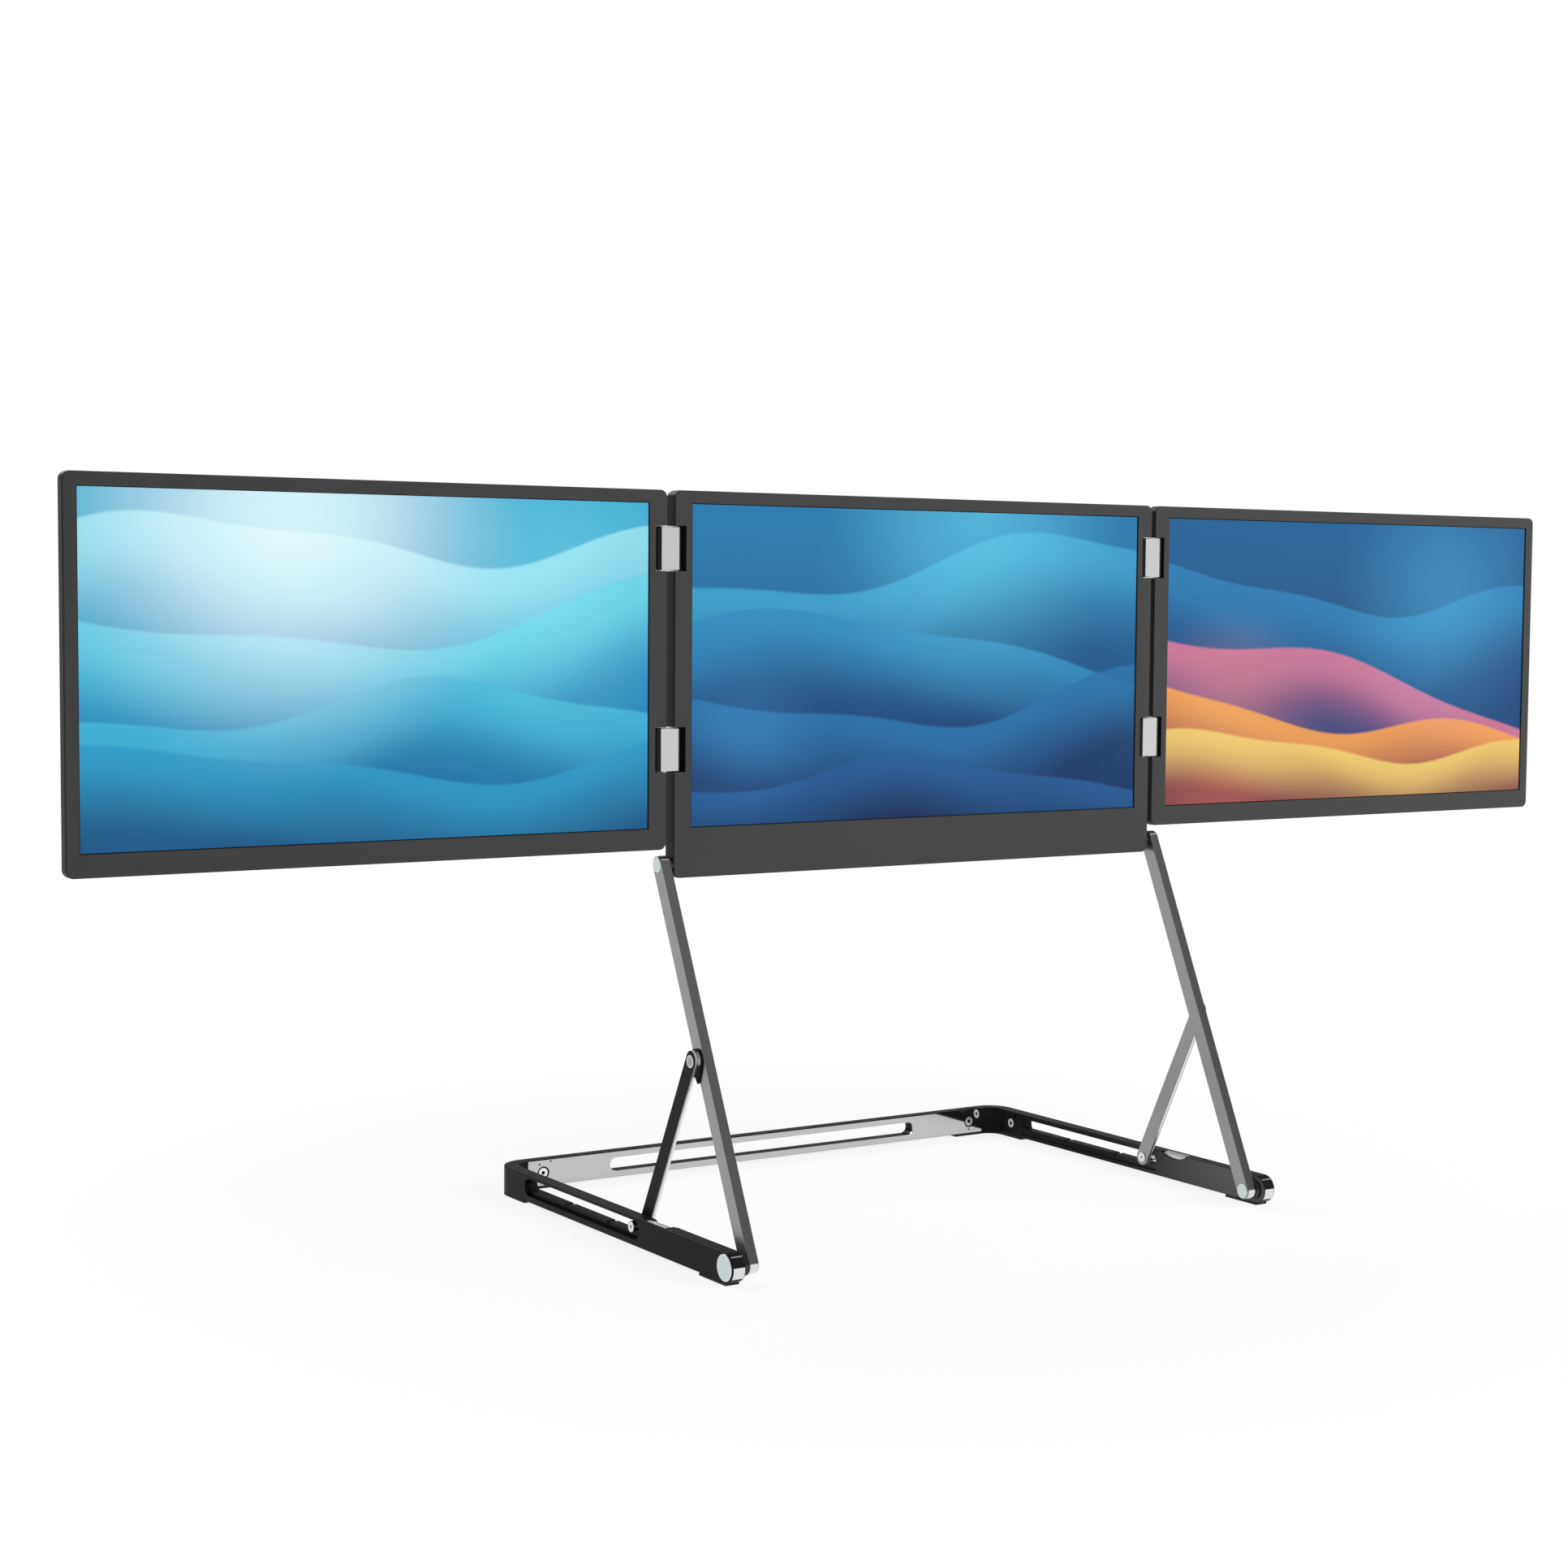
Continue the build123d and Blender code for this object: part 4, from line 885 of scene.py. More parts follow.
RIGHT_PICTURE = LitPicture(
    "right_picture", middle=372.4, top=tint(24, 96, 150), floor=tint(16, 44, 84),
    folds=(
        Fold(0.78, -0.03, 0.07, 3.0, 1.8, tint(40, 128, 184), tint(12, 72, 128), 0.36),
        Fold(0.62, -0.20, 0.06, 2.6, 5.6, tint(214, 120, 150), tint(60, 66, 120), 0.30),
        Fold(0.44, -0.16, 0.07, 2.8, 3.2, tint(246, 162, 70), tint(150, 64, 60), 0.26),
        Fold(0.22, -0.03, 0.05, 3.4, 0.9, tint(240, 206, 110), tint(120, 56, 70), 0.24),
    ),
    glows=(
        Glow(1.36, 0.74, 0.60, tint(70, 160, 214), 0.40),
        Glow(0.30, 0.22, 0.50, tint(240, 130, 70), 0.30),
    ),
)
BASE_BLACK = GlossPaint("base_black", grey(30), 0.30, specular=0.05)
DARK_STEEL = MachinedMetal("dark_steel", grey(66), 0.32, 0.9)
BRIGHT_STEEL = MachinedMetal("bright_steel", grey(225), 0.22, 1.0)
BAND_STEEL = BrushedMetal("band_steel", grey(226), 0.10, 1.0, along=Axis.ACROSS, line_length=30.0,
                          depth=0.0004, swing=0.02)


def pale_cap(name: str, centre: Pair, rim: float, rim_colour: Colour) -> TurnedMetal:
    """Finish of the pale turned caps on the ends of one hinge axis; their paler rim is a painted highlight.
    """
    return TurnedMetal(name, tint(206, 216, 217), 0.32, 1.0, centre=centre, rim=rim, rim_colour=rim_colour)


# ---------------------------------------------------------------- sub-assemblies
@dataclass(frozen=True)
class Sweep:
    """Part turn of a band, from the level that points to the front.

    Args:
        start: Where it starts, in degrees downwards.
        end: Where it ends, in degrees downwards.
        steps: Steps between the two.
    """

    start: float
    end: float
    steps: int


class SubAssembly:
    """Common work of every sub-assembly: dressing nodes and adding trim."""

    def dress(self, finish: Finish, *nodes: str) -> None:
        """Gives nodes of the frame a finish.

        Args:
            finish: The finish.
            nodes: Names of the nodes.
        """
        for name in nodes:
            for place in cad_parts[name].material_slots:
                place.material = finish.material()
            LOG.info("dressed %s in %s", name, finish.name)

    def add(self, name: str, form: Form, finish: Finish, body: str, slot: str) -> None:
        """Turns a finished form into a piece that rides on a body.

        Args:
            name: Name of the piece.
            form: Its closed form in metres, which is used up.
            finish: Its finish.
            body: Body that carries it.
            slot: Material slot of the record; not used.
        """
        bmesh.ops.remove_doubles(form, verts=form.verts, dist=0.000002)
        bmesh.ops.recalc_face_normals(form, faces=form.faces)
        mesh = bpy.data.meshes.new(name)
        form.to_mesh(mesh)
        form.free()
        mesh.shade_smooth()
        mesh.set_sharp_from_angle(angle=radians(32))
        mesh.materials.append(finish.material())
        piece = bpy.data.objects.new(name, mesh)
        bpy.context.collection.objects.link(piece)
        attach(piece, body)
        LOG.info("added %s, %d faces", name, len(mesh.polygons))

    @staticmethod
    def turned(form: Form, outline: Sequence[Pair], centre: Vector, way: int, steps: int,
               closed: bool = False, axis: Axis = Axis.ACROSS) -> None:
        """Spins an outline all the way about an axis.

        Args:
            form: Mesh to add to.
            outline: Points as (radius, distance along the axis), in millimetres.
            centre: Point of the axis in metres.
            way: 1 or -1, the way the distances run.
            steps: Steps of the full turn.
            closed: True for a ring, whose outline ends where it starts.
            axis: The axis.
        """
        points = [form.verts.new(centre + Vector(axis.value) * way * reach * MILLIMETRE + at(0, 0, radius))
                  for radius, reach in outline]
        pairs = list(zip(points, points[1:])) + ([(points[-1], points[0])] if closed else [])
        edges = [form.edges.new(pair) for pair in pairs]
        bmesh.ops.spin(form, geom=points + edges, cent=centre, axis=axis.value, angle=tau, steps=steps,
                       use_merge=True, use_normal_flip=False, use_duplicate=False)

    @staticmethod
    def band(form: Form, centre: Vector, radii: Pair, reaches: Pair, sweep: Sweep) -> None:
        """Sweeps a flat strip part of the way about an axis along X.

        Args:
            form: Mesh to add to.
            centre: Point of the axis in metres.
            radii: Its inner and outer radius in millimetres.
            reaches: X of its two sides in millimetres.
            sweep: The part turn.
        """
        (inner, outer), (near, far) = radii, reaches
        first, last = radians(sweep.start), radians(sweep.end)
        points = [form.verts.new(centre + at(reach, -cos(first) * radius, -sin(first) * radius))
                  for radius, reach in ((inner, near), (outer, near), (outer, far), (inner, far))]
        edges = [form.edges.new(pair) for pair in zip(points, points[1:] + points[:1])]
        bmesh.ops.spin(form, geom=points + edges, cent=centre, axis=Axis.ACROSS.value, angle=last - first,
                       steps=sweep.steps, use_merge=False, use_normal_flip=False, use_duplicate=False)
        bmesh.ops.holes_fill(form, edges=[edge for edge in form.edges if edge.is_boundary], sides=4)

    def add_bands(self, side: Side, name: str, centre: Pair, radius: float, flanks: Pair,
                  sweeps: Sequence[Sweep], body: str) -> None:
        """Adds the polished bands of one round end.

        Args:
            side: Side of the stand.
            name: Name of the piece after its side.
            centre: Y and Z of the round end's axis.
            radius: Radius of the round end.
            flanks: Distances of the bands' two sides from the middle.
            sweeps: Where the bands lie.
            body: Body that carries them.
        """
        radii = (radius - BAND_ROOT, radius + BAND_THICKNESS)
        reaches = tuple(side.value * flank for flank in flanks)
        form = bmesh.new()
        for sweep in sweeps:
            self.band(form, at(0, *centre), radii, reaches, sweep)
        self.add(f"{side.word}_{name}", form, BAND_STEEL, body, "bright_steel")

    @staticmethod
    def block(form: Form, low: Vector, high: Vector) -> list[bmesh.types.BMVert]:
        """Adds a box from its lowest and highest corner in metres, and returns its vertices."""
        place = Matrix.Translation((low + high) / 2) @ Matrix.Diagonal((*(high - low), 1.0))
        return bmesh.ops.create_cube(form, size=1.0, matrix=place)["verts"]


@dataclass
class Base(SubAssembly):
    """U-shaped foot of the stand: side bars, corner blocks and the crossbar with its mirror plate.

    Args:
        knuckle_radius: Radius of the bars' round front ends.
        flanks: Distances of the bands' two sides from the middle, within the bars' thickness.
        plate_face: Y of the crossbar plate's rear face.
        ring_radii: Inner and outer radius of the rings of painted shade round the crossbar's screws.
        bar_black: Finish of the bars and corner blocks, with a painted sheen on the side bars' inner faces.
        plate: Finish of the crossbar's mirror plate.
        screws: Finish of the corner screws, with their places.
        rubber: Finish of the feet.
    """

    knuckle_radius: float = 8.8
    flanks: Pair = (197.95, 205.45)
    plate_face: float = 139.85
    ring_radii: Pair = (3.45, 4.35)
    bar_black: SheenPaint = SheenPaint("bar_black", grey(30), 0.30, specular=0.05)
    plate: BrushedMetal = BrushedMetal("polished_plate", grey(194), 0.05, 1.0, along=Axis.ACROSS,
                                       line_length=60.0, depth=0.0002, swing=0.015)
    screws: SocketScrewMetal = SocketScrewMetal("screw_steel", grey(240), 0.26, 0.9)
    rubber: RibbedRubber = RibbedRubber("foot_rubber", grey(34), 0.75)

    def dress_nodes(self) -> None:
        """Dresses the nodes of the base."""
        self.dress(self.bar_black, "left_side_bar", "right_side_bar", "rear_bar", "left_corner_block",
                   "right_corner_block")
        self.dress(self.plate, "rear_bar_plate")
        self.dress(DARK_STEEL, "rear_plate_rivets", "arm_pivot_pins", "knuckle_washers")
        self.dress(BRIGHT_STEEL, "left_latch_spring", "right_latch_spring")
        self.dress(self.screws, "corner_screws")
        self.dress(self.rubber, "foot_pads")
        # painted highlight: the knuckle caps' paler rim
        self.dress(pale_cap("pale_caps", PIVOT, 7.35, tint(228, 232, 233)), "knuckle_caps")

    def build_knuckle_bands(self) -> None:
        """Builds the polished bands on the fronts of the knuckles."""
        front, shoulder = Sweep(-7.0, 41.0, 18), Sweep(-54.0, -48.0, 4)
        for side in Side:
            self.add_bands(side, "knuckle_bands", PIVOT, self.knuckle_radius, self.flanks,
                           [front, shoulder], "base")

    def build_screw_shade_rings(self) -> None:
        """Builds black rings round the crossbar's screws: painted shade of their countersinks."""
        inner, outer = self.ring_radii
        face, chamfer = BAND_THICKNESS, 0.1
        outline = ((inner, -BAND_ROOT), (outer, -BAND_ROOT), (outer, face / 2), (outer - chamfer, face),
                   (inner + chamfer, face), (inner, face / 2))
        distance, height = self.screws.rear_centre
        form = bmesh.new()
        for side in Side:
            centre = at(side.value * distance, self.plate_face, height)
            self.turned(form, outline, centre, way=-1, steps=40, closed=True, axis=Axis.ALONG)
        # painted shade: black rings round the screws
        self.add("plate_screw_shade_rings", form, BASE_BLACK, "base", "base_black")


@dataclass
class Latch(SubAssembly):
    """Release latch of one side bar, with the round stud at the end of its finger.

    Args:
        side: Side of the stand.
        flank: Distance of the finger's outer flank from the middle.
        stud_place: Y and Z of the stud.
        stud_radius: Radius of the stud.
        stud_reach: How far the stud stands out of the finger.
        stud_root: How deep it sits in the finger.
        stud_crown: Height of its rounded end.
        silver: Finish of the latch, bright at its top, with painted shade, near black, inside the bar.
        pale: Finish of the stud.
    """

    side: Side
    flank: float = 202.25
    stud_place: Pair = (-38.3, 14.3)
    stud_radius: float = 1.2
    stud_reach: float = 0.95
    stud_root: float = 0.3
    stud_crown: float = 0.3
    silver: BrushedMetal = BrushedMetal(
        "latch_silver", grey(216), 0.30, 0.7,
        # painted shade: near black below the bar's top, where the latch lies inside the bar
        changes=(Change(BURIED_SHADE, 15.9, 0.1, inside=True, axis=Axis.UP),))
    pale: MachinedMetal = MachinedMetal("stud_pale", grey(244), 0.22, 1.0)

    def dress_nodes(self) -> None:
        """Dresses the latch."""
        self.dress(self.silver, f"{self.side.word}_latch")

    def build_stud(self) -> None:
        """Builds the stud that shows in the slot's front end."""
        radius, reach, root = self.stud_radius, self.stud_reach, self.stud_root
        outline = ((0, -root), (radius, -root), (radius, reach - self.stud_crown),
                   (radius * 0.8, reach - self.stud_crown / 6), (radius * 0.45, reach), (0, reach))
        centre = at(self.side.value * self.flank, *self.stud_place)
        form = bmesh.new()
        self.turned(form, outline, centre, self.side.value, steps=28)
        self.add(f"{self.side.word}_latch_stud", form, self.pale, f"{self.side.word}_latch", "latch_silver")


@dataclass
class Arms(SubAssembly):
    """The two arms with the lugs for the struts, their caps and pins.

    Args:
        slope: Slope of the arms from the desk, in degrees.
        radius: Radius of their round feet and heads.
        flanks: Distances of the bands' two sides from the middle, within the arms' thickness.
        lug_pin: Y and Z of the struts' pins in the lugs.
        lug_face: Distance of the lugs' outer faces from the middle.
        ring_shift: How far the lug rings lie forward of the pin and up along the arm.
        ring_radii: Inner and outer radius of the lug rings.
        ring: Finish of the lug rings, near white, a painted highlight.
    """

    slope: float = 65.319
    radius: float = 5.35
    flanks: Pair = (187.0, 192.2)
    lug_pin: Pair = (-85.05, 119.639)
    lug_face: float = 194.0
    ring_shift: Pair = (2.6, 0.3)
    ring_radii: Pair = (2.6, 4.8)
    # painted highlight: near-white rings where the lugs catch the light
    ring: MachinedMetal = MachinedMetal("ring_steel", grey(252), 0.35, 0.35)

    def dress_nodes(self) -> None:
        """Dresses the nodes of the arms."""
        satin = BrushedMetal("arm_grey", grey(150), 0.32, 1.0, turn=-self.slope, line_length=30.0)
        pin = TurnedMetal("lug_pin_steel", grey(168), 0.34, 0.9, centre=self.lug_pin, core=1.1,
                          core_colour=grey(146), rim=2.9, rim_colour=grey(214))
        # painted highlight: rim_colour is the paler rim of the arms' caps
        rim_colour = tint(232, 236, 237)
        self.dress(satin, "left_arm", "right_arm")
        self.dress(BASE_BLACK, "strut_lugs")
        self.dress(pale_cap("pale_upper_caps", TILT_AXIS, 4.05, rim_colour), "arm_upper_caps")
        self.dress(pale_cap("pale_lower_caps", PIVOT, 4.1, rim_colour), "arm_lower_caps")
        self.dress(pin, "strut_pivot_pins")
        self.dress(DARK_STEEL, "tilt_hinge_pins")

    def build_bands(self) -> None:
        """Builds the polished bands on the round feet and heads of the arms."""
        foot, head = Sweep(-12.0, 58.0, 18), Sweep(-55.0, -35.0, 6)
        for side in Side:
            self.add_bands(side, "arm_foot_band", PIVOT, self.radius, self.flanks, [foot], "arms")
            self.add_bands(side, "arm_head_band", TILT_AXIS, self.radius, self.flanks, [head], "arms")

    def build_lug_rings(self) -> None:
        """Builds the bright part rings round the struts' pins on the lugs, near white as a painted
        highlight.
        """
        lean = Matrix.Rotation(radians(self.slope), 3, "X")
        front, up = self.ring_shift
        centre = at(0, *self.lug_pin) + lean @ at(0, up, front)
        faces = (self.lug_face - BAND_ROOT, self.lug_face + BAND_THICKNESS)
        for side in Side:
            reaches = tuple(side.value * face for face in faces)
            form = bmesh.new()
            self.band(form, centre, self.ring_radii, reaches, Sweep(-100.0, 45.0, 24))
            self.add(f"{side.word}_lug_ring", form, self.ring, "arms", "bright_steel")


@dataclass
class Struts(SubAssembly):
    """The two struts: black outside, satin inside, with the pins that slide in the base.

    Args:
        slope: Slope of the struts from the desk, in degrees.
        slide_pin: Y and Z of the slide pins.
        black: Finish of the struts, with a painted highlight, pale grey, on the edges of their broad outer
            faces.
    """

    slope: float = 116.557
    slide_pin: Pair = (-31.4, 12.3)
    black: GlossPaint = GlossPaint("strut_black", grey(32), 0.34, specular=0.06,
                                   # painted highlight: pale grey along the edges of the black outer faces
                                   changes=(Change(grey(222), 196.55, 0.1, inside=True),))

    def dress_nodes(self) -> None:
        """Dresses the nodes of the struts."""
        # painted highlight: pale grey along the liners' outer edges
        edge_highlight = Change(grey(236), 194.225, 0.075)
        satin = BrushedMetal("strut_satin", grey(150), 0.30, 1.0, changes=(edge_highlight,), turn=-self.slope,
                             line_length=25.0)
        pin = TurnedMetal("slide_pin_steel", grey(232), 0.26, 1.0, centre=self.slide_pin, core=0.8,
                          core_colour=grey(90), rim=2.7, rim_colour=grey(196))
        self.dress(self.black, "left_strut", "right_strut")
        self.dress(satin, "strut_liners")
        self.dress(pin, "slide_pins")


@dataclass
class HingeLinks(SubAssembly):
    """Upper and lower hinge link of one side, with their pins.

    Args:
        side: Side of the stand.
        silver: Finish of the links, bright between the pins, with painted shade and reflection, black, round
            the barrels.
    """

    side: Side
    silver: BrushedMetal = BrushedMetal(
        "link_silver", grey(218), 0.34, 0.6, along=Axis.UP, line_length=8.0,
        # painted shade and reflection: the links' rounded ends round the barrels are near black
        changes=(Change(BARREL_SHADE, 180.05, 0.15, inside=True), Change(BARREL_SHADE, 192.05, 0.15)))

    def dress_nodes(self) -> None:
        """Dresses the links and pins."""
        self.dress(self.silver, f"{self.side.word}_upper_link", f"{self.side.word}_lower_link")
        self.dress(BRIGHT_STEEL, f"{self.side.word}_hinge_pins")


@dataclass
class Display(SubAssembly):
    """One display: casing, picture, the black edge of the glass and black linings of painted shade in its
    hinge recesses.

    Args:
        name: left, centre or right.
        walls: X of the casing's hinged edges with the way inwards, 1 or -1.
        front: Y of the casing's front face.
        back: Y of its back face.
        picture: The picture, with its place and size.
        link_levels: Heights of the hinge links' middles.
        recess_half: Half the height of a recess.
        recess_depth: Depth of a recess from the casing's edge.
        recess_start: How far in from that edge the lining starts.
        recess_front: Wall of the casing in front of a recess.
        recess_back: Wall of the casing behind it.
        lining: Thickness of the recess lining.
        edge_width: Width of the black edge round the picture.
        edge_margin: How far inside the picture's border that edge lies.
        edge_thickness: How far that edge stands off the glass.
        glass_sink: How far the glass lies behind the casing's front.
        casing: Finish of the casing.
        black: Finish of the black trim, which also gives the recesses their painted shade.
    """

    name: str
    walls: tuple[tuple[float, int], ...]
    front: float
    back: float
    picture: LitPicture
    link_levels: Pair = (299.623, 419.223)
    recess_half: float = 13.5
    recess_depth: float = 8.0
    # recess_start: How far in from that edge the shade lining starts.
    recess_start: float = 0.6
    recess_front: float = 0.6
    recess_back: float = 0.9
    # lining: Thickness of the recess linings of painted shade.
    lining: float = 0.12
    edge_width: float = 0.55
    edge_margin: float = 0.02
    edge_thickness: float = 0.25
    glass_sink: float = 0.9
    casing: CasingPlastic = CasingPlastic("casing_grey", grey(72), 0.48, specular=0.15)
    black: MouldedPlastic = MouldedPlastic("black_trim", grey(22), 0.6, specular=0.2, grain=0.2)

    @property
    def body(self) -> str:
        """Body that the display's pieces ride on."""
        return f"{self.name}_panel"

    def dress_nodes(self) -> None:
        """Dresses the nodes of the display."""
        name = self.name
        self.dress(self.casing, f"{name}_bezel", f"{name}_rear_cover")
        self.dress(self.picture, f"{name}_display")
        self.dress(LightGuide("light_guide", (0.75, 0.77, 0.75), 0.3), f"{name}_backlight")
        self.dress(CircuitLaminate("circuit_board", tint(18, 70, 44), 0.35), f"{name}_board")
        self.dress(DARK_STEEL, f"{name}_hinge_brackets", f"{name}_cover_screws")

    def build_trim(self) -> None:
        """Builds the edge round the picture and the linings of painted shade in the hinge recesses."""
        self.build_picture_edge()
        self.build_recess_linings()

    def build_picture_edge(self) -> None:
        """Builds the thin black edge between the glass and the casing, partly painted shade of the gap."""
        shown = self.picture
        middle = at(shown.middle, self.front + self.glass_sink, shown.foot + shown.height / 2)
        half = at(shown.width / 2 - self.edge_margin, shown.height / 2 - self.edge_margin, 0)
        upright = Matrix.Rotation(radians(90), 4, "X") @ Matrix.Diagonal((half.x, half.y, 1.0, 1.0))
        form = bmesh.new()
        bmesh.ops.create_grid(form, x_segments=1, y_segments=1, size=1.0,
                              matrix=Matrix.Translation(middle) @ upright)
        bmesh.ops.inset_region(form, faces=form.faces[:], thickness=self.edge_width * MILLIMETRE,
                               use_boundary=True, use_even_offset=True)
        inner = min(form.faces, key=lambda face: (face.calc_center_median() - middle).length)
        bmesh.ops.delete(form, geom=[inner], context="FACES_ONLY")
        grown = bmesh.ops.extrude_face_region(form, geom=form.faces[:])
        moved = [part for part in grown["geom"] if isinstance(part, bmesh.types.BMVert)]
        bmesh.ops.translate(form, verts=moved, vec=at(0, -self.edge_thickness, 0))
        # partly painted shade: the display's black border also stands for the shadow line at the glass
        self.add(f"{self.name}_picture_edge", form, self.black, self.body, "casing_grey")

    def build_recess_linings(self) -> None:
        """Builds the black linings of the hinge recesses, painted shade where they lie in the dark."""
        form = bmesh.new()
        for wall, inward in self.walls:
            near, far = sorted((wall + inward * self.recess_start, wall + inward * self.recess_depth))
            for level in self.link_levels:
                low = at(near, self.front + self.recess_front, level - self.recess_half)
                high = at(far, self.back - self.recess_back, level + self.recess_half)
                corners = self.block(form, low, high)
                faces = {face for corner in corners for face in corner.link_faces}
                open_faces = [face for face in faces
                              if abs(face.normal.y) > 0.5 or face.normal.x * inward < -0.5]
                bmesh.ops.delete(form, geom=open_faces, context="FACES")
        bmesh.ops.solidify(form, geom=form.faces[:], thickness=self.lining * MILLIMETRE)
        # painted shade: black sheets on the walls of the recesses
        self.add(f"{self.name}_recess_linings", form, self.black, self.body, "casing_grey")


@dataclass
class CentreDisplay(Display):
    """The middle display, which also has the ports, the buttons, the vents and the tilt hubs.

    Args:
        vent_level: Height of the vents' middle.
        vent_half: Half the height of the dust mesh behind them.
        mesh_half: Half its width.
        mesh_front: Y of the cover's inner face, on which it lies.
        mesh_thickness: Its thickness.
        mesh_corner: Radius of its corners.
    """

    vent_level: float = 427.623
    vent_half: float = 9.6
    mesh_half: float = 63.0
    mesh_front: float = -34.284
    mesh_thickness: float = 0.15
    mesh_corner: float = 2.0

    def dress_nodes(self) -> None:
        """Dresses the display's nodes, with its ports, buttons and tilt hubs."""
        super().dress_nodes()
        buttons = MouldedPlastic("button_plastic", grey(44), 0.38, grain=0.25)
        self.dress(BRIGHT_STEEL, "usb_ports", "video_port")
        self.dress(buttons, "power_button", "brightness_up_button", "brightness_down_button")
        self.dress(DARK_STEEL, "tilt_hinge_hubs")

    def build_trim(self) -> None:
        """Builds the trim of a display, and the dust mesh of this one."""
        super().build_trim()
        self.build_dust_mesh()

    def build_dust_mesh(self) -> None:
        """Builds the fine mesh behind the vents."""
        low = at(-self.mesh_half, self.mesh_front - self.mesh_thickness, self.vent_level - self.vent_half)
        high = at(self.mesh_half, self.mesh_front, self.vent_level + self.vent_half)
        form = bmesh.new()
        self.block(form, low, high)
        through = [edge for edge in form.edges
                   if abs((edge.verts[0].co - edge.verts[1].co).normalized().y) > 0.9]
        bmesh.ops.bevel(form, geom=through, offset=self.mesh_corner * MILLIMETRE, offset_type="OFFSET",
                        affect="EDGES", segments=4, profile=0.5, material=-1)
        self.add("vent_dust_mesh", form, WovenMesh("vent_mesh", grey(48), 0.6, 0.3), self.body, "dark_steel")


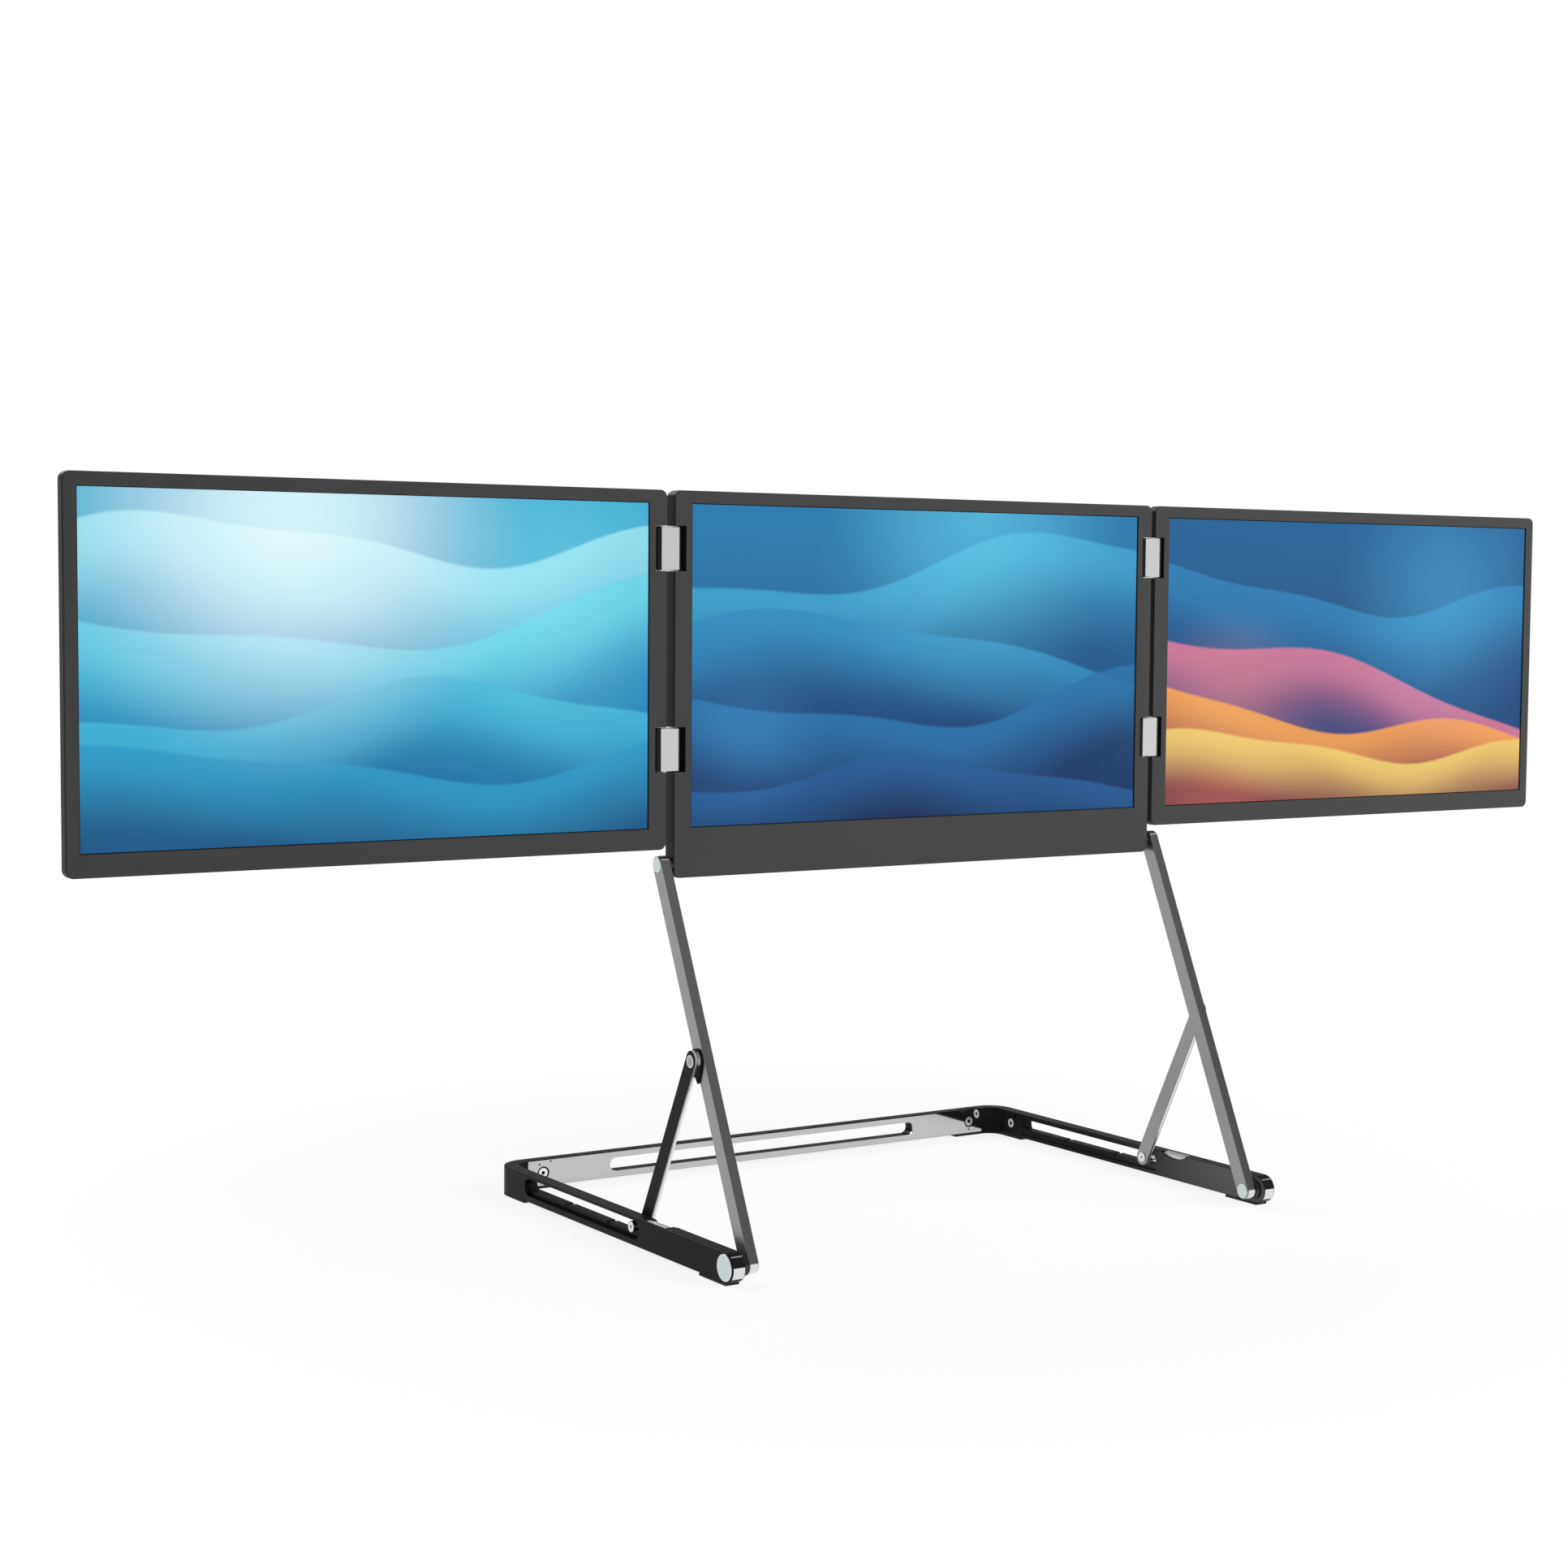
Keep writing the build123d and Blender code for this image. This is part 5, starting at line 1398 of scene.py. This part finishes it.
# ---------------------------------------------------------------- studio
@dataclass
class Studio:
    """Plain pale floor, soft lamps, white background and the camera.

    Args:
        camera_place: Camera in metres.
        azimuth: Turn of the view from +Y towards +X, in degrees.
        dip: View below the horizon, in degrees.
        roll: Roll of the camera, in degrees.
        lens: Focal length on a 36 mm wide sensor, in millimetres.
        aim: Point in metres that the lamps face.
        fill: Strength of the world's even light.
        low_shine: Z of a direction where the mirrored white starts and stops fading, and what is left of it.
        high_shine: Z where the mirrored white starts and stops growing again, and how much it gains.
        floor_bounce: Paleness of the floor for the light that it throws back on the object.
        floor_paint: Paleness of the floor to the eye.
        floor_glow: Distances in metres over which the floor turns into the white background, and the
            share of that white at the first of them.
    """

    camera_place: Triple = (-1.00005, -1.43167, 0.38768)
    azimuth: float = 32.781
    dip: float = 3.837
    roll: float = 0.412
    lens: float = 62.14
    aim: Triple = (0.0, 0.0, 0.25)
    fill: float = 0.35
    low_shine: Triple = (0.02, 0.22, 0.10)
    high_shine: Triple = (0.36, 0.54, 0.27)
    floor_bounce: float = 0.50
    floor_paint: float = 0.96
    floor_glow: Triple = (0.22, 0.60, 0.85)

    def set_camera(self) -> None:
        """Places the camera and sets the view settings."""
        heading = Matrix.Rotation(-radians(self.azimuth), 4, "Z")
        pitch = Matrix.Rotation(radians(90 - self.dip), 4, "X")
        lean = Matrix.Rotation(radians(self.roll), 4, "Z")
        eye = bpy.data.cameras.new("studio_camera")
        eye.sensor_fit = "HORIZONTAL"
        eye.sensor_width = 36.0
        eye.lens = self.lens
        stand = bpy.data.objects.new("studio_camera", eye)
        stand.matrix_world = Matrix.Translation(self.camera_place) @ heading @ pitch @ lean
        bpy.context.collection.objects.link(stand)
        bpy.context.scene.camera = stand
        bpy.context.scene.view_settings.view_transform = "Standard"
        LOG.info("camera placed")

    def light_world(self) -> None:
        """Makes the world: white to the eye and in reflections, an even soft light elsewhere."""
        world = bpy.data.worlds.new("studio_world")
        world.use_nodes = True
        bpy.context.scene.world = world
        sheet = WorkSheet(world.node_tree)
        path = sheet.node("LightPath", {}).outputs
        _, _, up = sheet.parts(sheet.node("TexCoord", {}).outputs["Generated"])
        low, high, left = self.low_shine
        start, end, gain = self.high_shine
        lower = sheet.fade(up, low, high, 1.0, left)
        mirrored = sheet.math("ADD", lower, sheet.fade(up, start, end, 0.0, gain))
        shine = sheet.math("MAXIMUM", path["Is Glossy Ray"], path["Is Transmission Ray"])
        even = sheet.math("MULTIPLY", sheet.math("SUBTRACT", 1.0, shine), self.fill)
        strength = sheet.math("ADD", sheet.math("MULTIPLY", shine, mirrored), even)
        feeds = {"Factor": path["Is Camera Ray"], "A": strength, "B": 1.0}
        seen = sheet.node("Mix", feeds, data_type="FLOAT").outputs["Result"]
        glow = sheet.node("Background", {"Color": WHITE, "Strength": seen})
        sheet.node("OutputWorld", {"Surface": glow.outputs[0]})
        LOG.info("world lit")

    def hang_lamp(self, name: str, place: Sequence[float], size: Pair, power: float, mirrored: bool) -> None:
        """Hangs one soft box.

        Args:
            name: Its name.
            place: Its place in metres.
            size: Width and height in metres.
            power: Its power in watts.
            mirrored: True if polished surfaces show it.
        """
        lamp = bpy.data.lights.new(name, "AREA")
        lamp.shape = "RECTANGLE"
        lamp.size, lamp.size_y = size
        lamp.energy = power
        holder = bpy.data.objects.new(name, lamp)
        turn = (Vector(self.aim) - Vector(place)).to_track_quat("-Z", "Y")
        holder.matrix_world = Matrix.Translation(place) @ turn.to_matrix().to_4x4()
        holder.visible_glossy = mirrored
        bpy.context.collection.objects.link(holder)
        LOG.info("lamp %s hung", name)

    def lay_floor(self) -> None:
        """Lays the pale floor, which fades into the white background away from the object."""
        form = bmesh.new()
        bmesh.ops.create_circle(form, cap_ends=True, radius=30.0, segments=96)
        mesh = bpy.data.meshes.new("studio_floor")
        form.to_mesh(mesh)
        form.free()
        floor = bpy.data.objects.new("studio_floor", mesh)
        bpy.context.collection.objects.link(floor)
        pale = bpy.data.materials.new("studio_floor")
        pale.use_nodes = True
        sheet = WorkSheet(pale.node_tree)
        path = sheet.node("LightPath", {}).outputs
        shine = sheet.math("MAXIMUM", path["Is Glossy Ray"], path["Is Transmission Ray"])
        seen = sheet.math("MAXIMUM", path["Is Camera Ray"], shine)
        paint = sheet.blend(seen, (self.floor_bounce,) * 3, (self.floor_paint,) * 3)
        near, far, share = self.floor_glow
        away = sheet.fade(sheet.length(sheet.place()), near, far, share, 1.0)
        matt = sheet.node("BsdfDiffuse", {"Color": paint})
        white = sheet.node("Emission", {"Color": WHITE})
        feeds = {0: sheet.math("MULTIPLY", away, seen), 1: matt.outputs[0], 2: white.outputs[0]}
        sheet.node("OutputMaterial", {"Surface": sheet.node("MixShader", feeds).outputs[0]})
        mesh.materials.append(pale)
        LOG.info("floor laid")


def main() -> None:
    """Builds and dresses the sub-assemblies in order, then sets up the studio."""
    logging.basicConfig(level=logging.INFO, format="%(message)s")

    base = Base()
    base.dress_nodes()
    base.build_knuckle_bands()
    base.build_screw_shade_rings()
    for side in Side:
        latch = Latch(side)
        latch.dress_nodes()
        latch.build_stud()
        HingeLinks(side).dress_nodes()
    arms = Arms()
    arms.dress_nodes()
    arms.build_bands()
    arms.build_lug_rings()
    Struts().dress_nodes()

    left = Display("left", walls=((-188.1, -1),), front=-41.884, back=-33.884, picture=LEFT_PICTURE)
    centre = CentreDisplay("centre", walls=((-184.0, 1), (184.0, -1)), front=-43.384, back=-32.884,
                           picture=CENTRE_PICTURE)
    right = Display("right", walls=((188.1, 1),), front=-41.884, back=-33.884, picture=RIGHT_PICTURE)
    for display in (left, centre, right):
        display.dress_nodes()
        display.build_trim()

    studio = Studio()
    studio.set_camera()
    studio.light_world()
    studio.hang_lamp("front_soft_box", (1.55, -1.75, 1.45), size=(1.6, 1.3), power=52.0, mirrored=False)
    studio.hang_lamp("rear_soft_box", (-0.6, 2.4, 2.2), size=(1.8, 1.4), power=40.0, mirrored=True)
    studio.lay_floor()


if __name__ == "__main__":
    main()
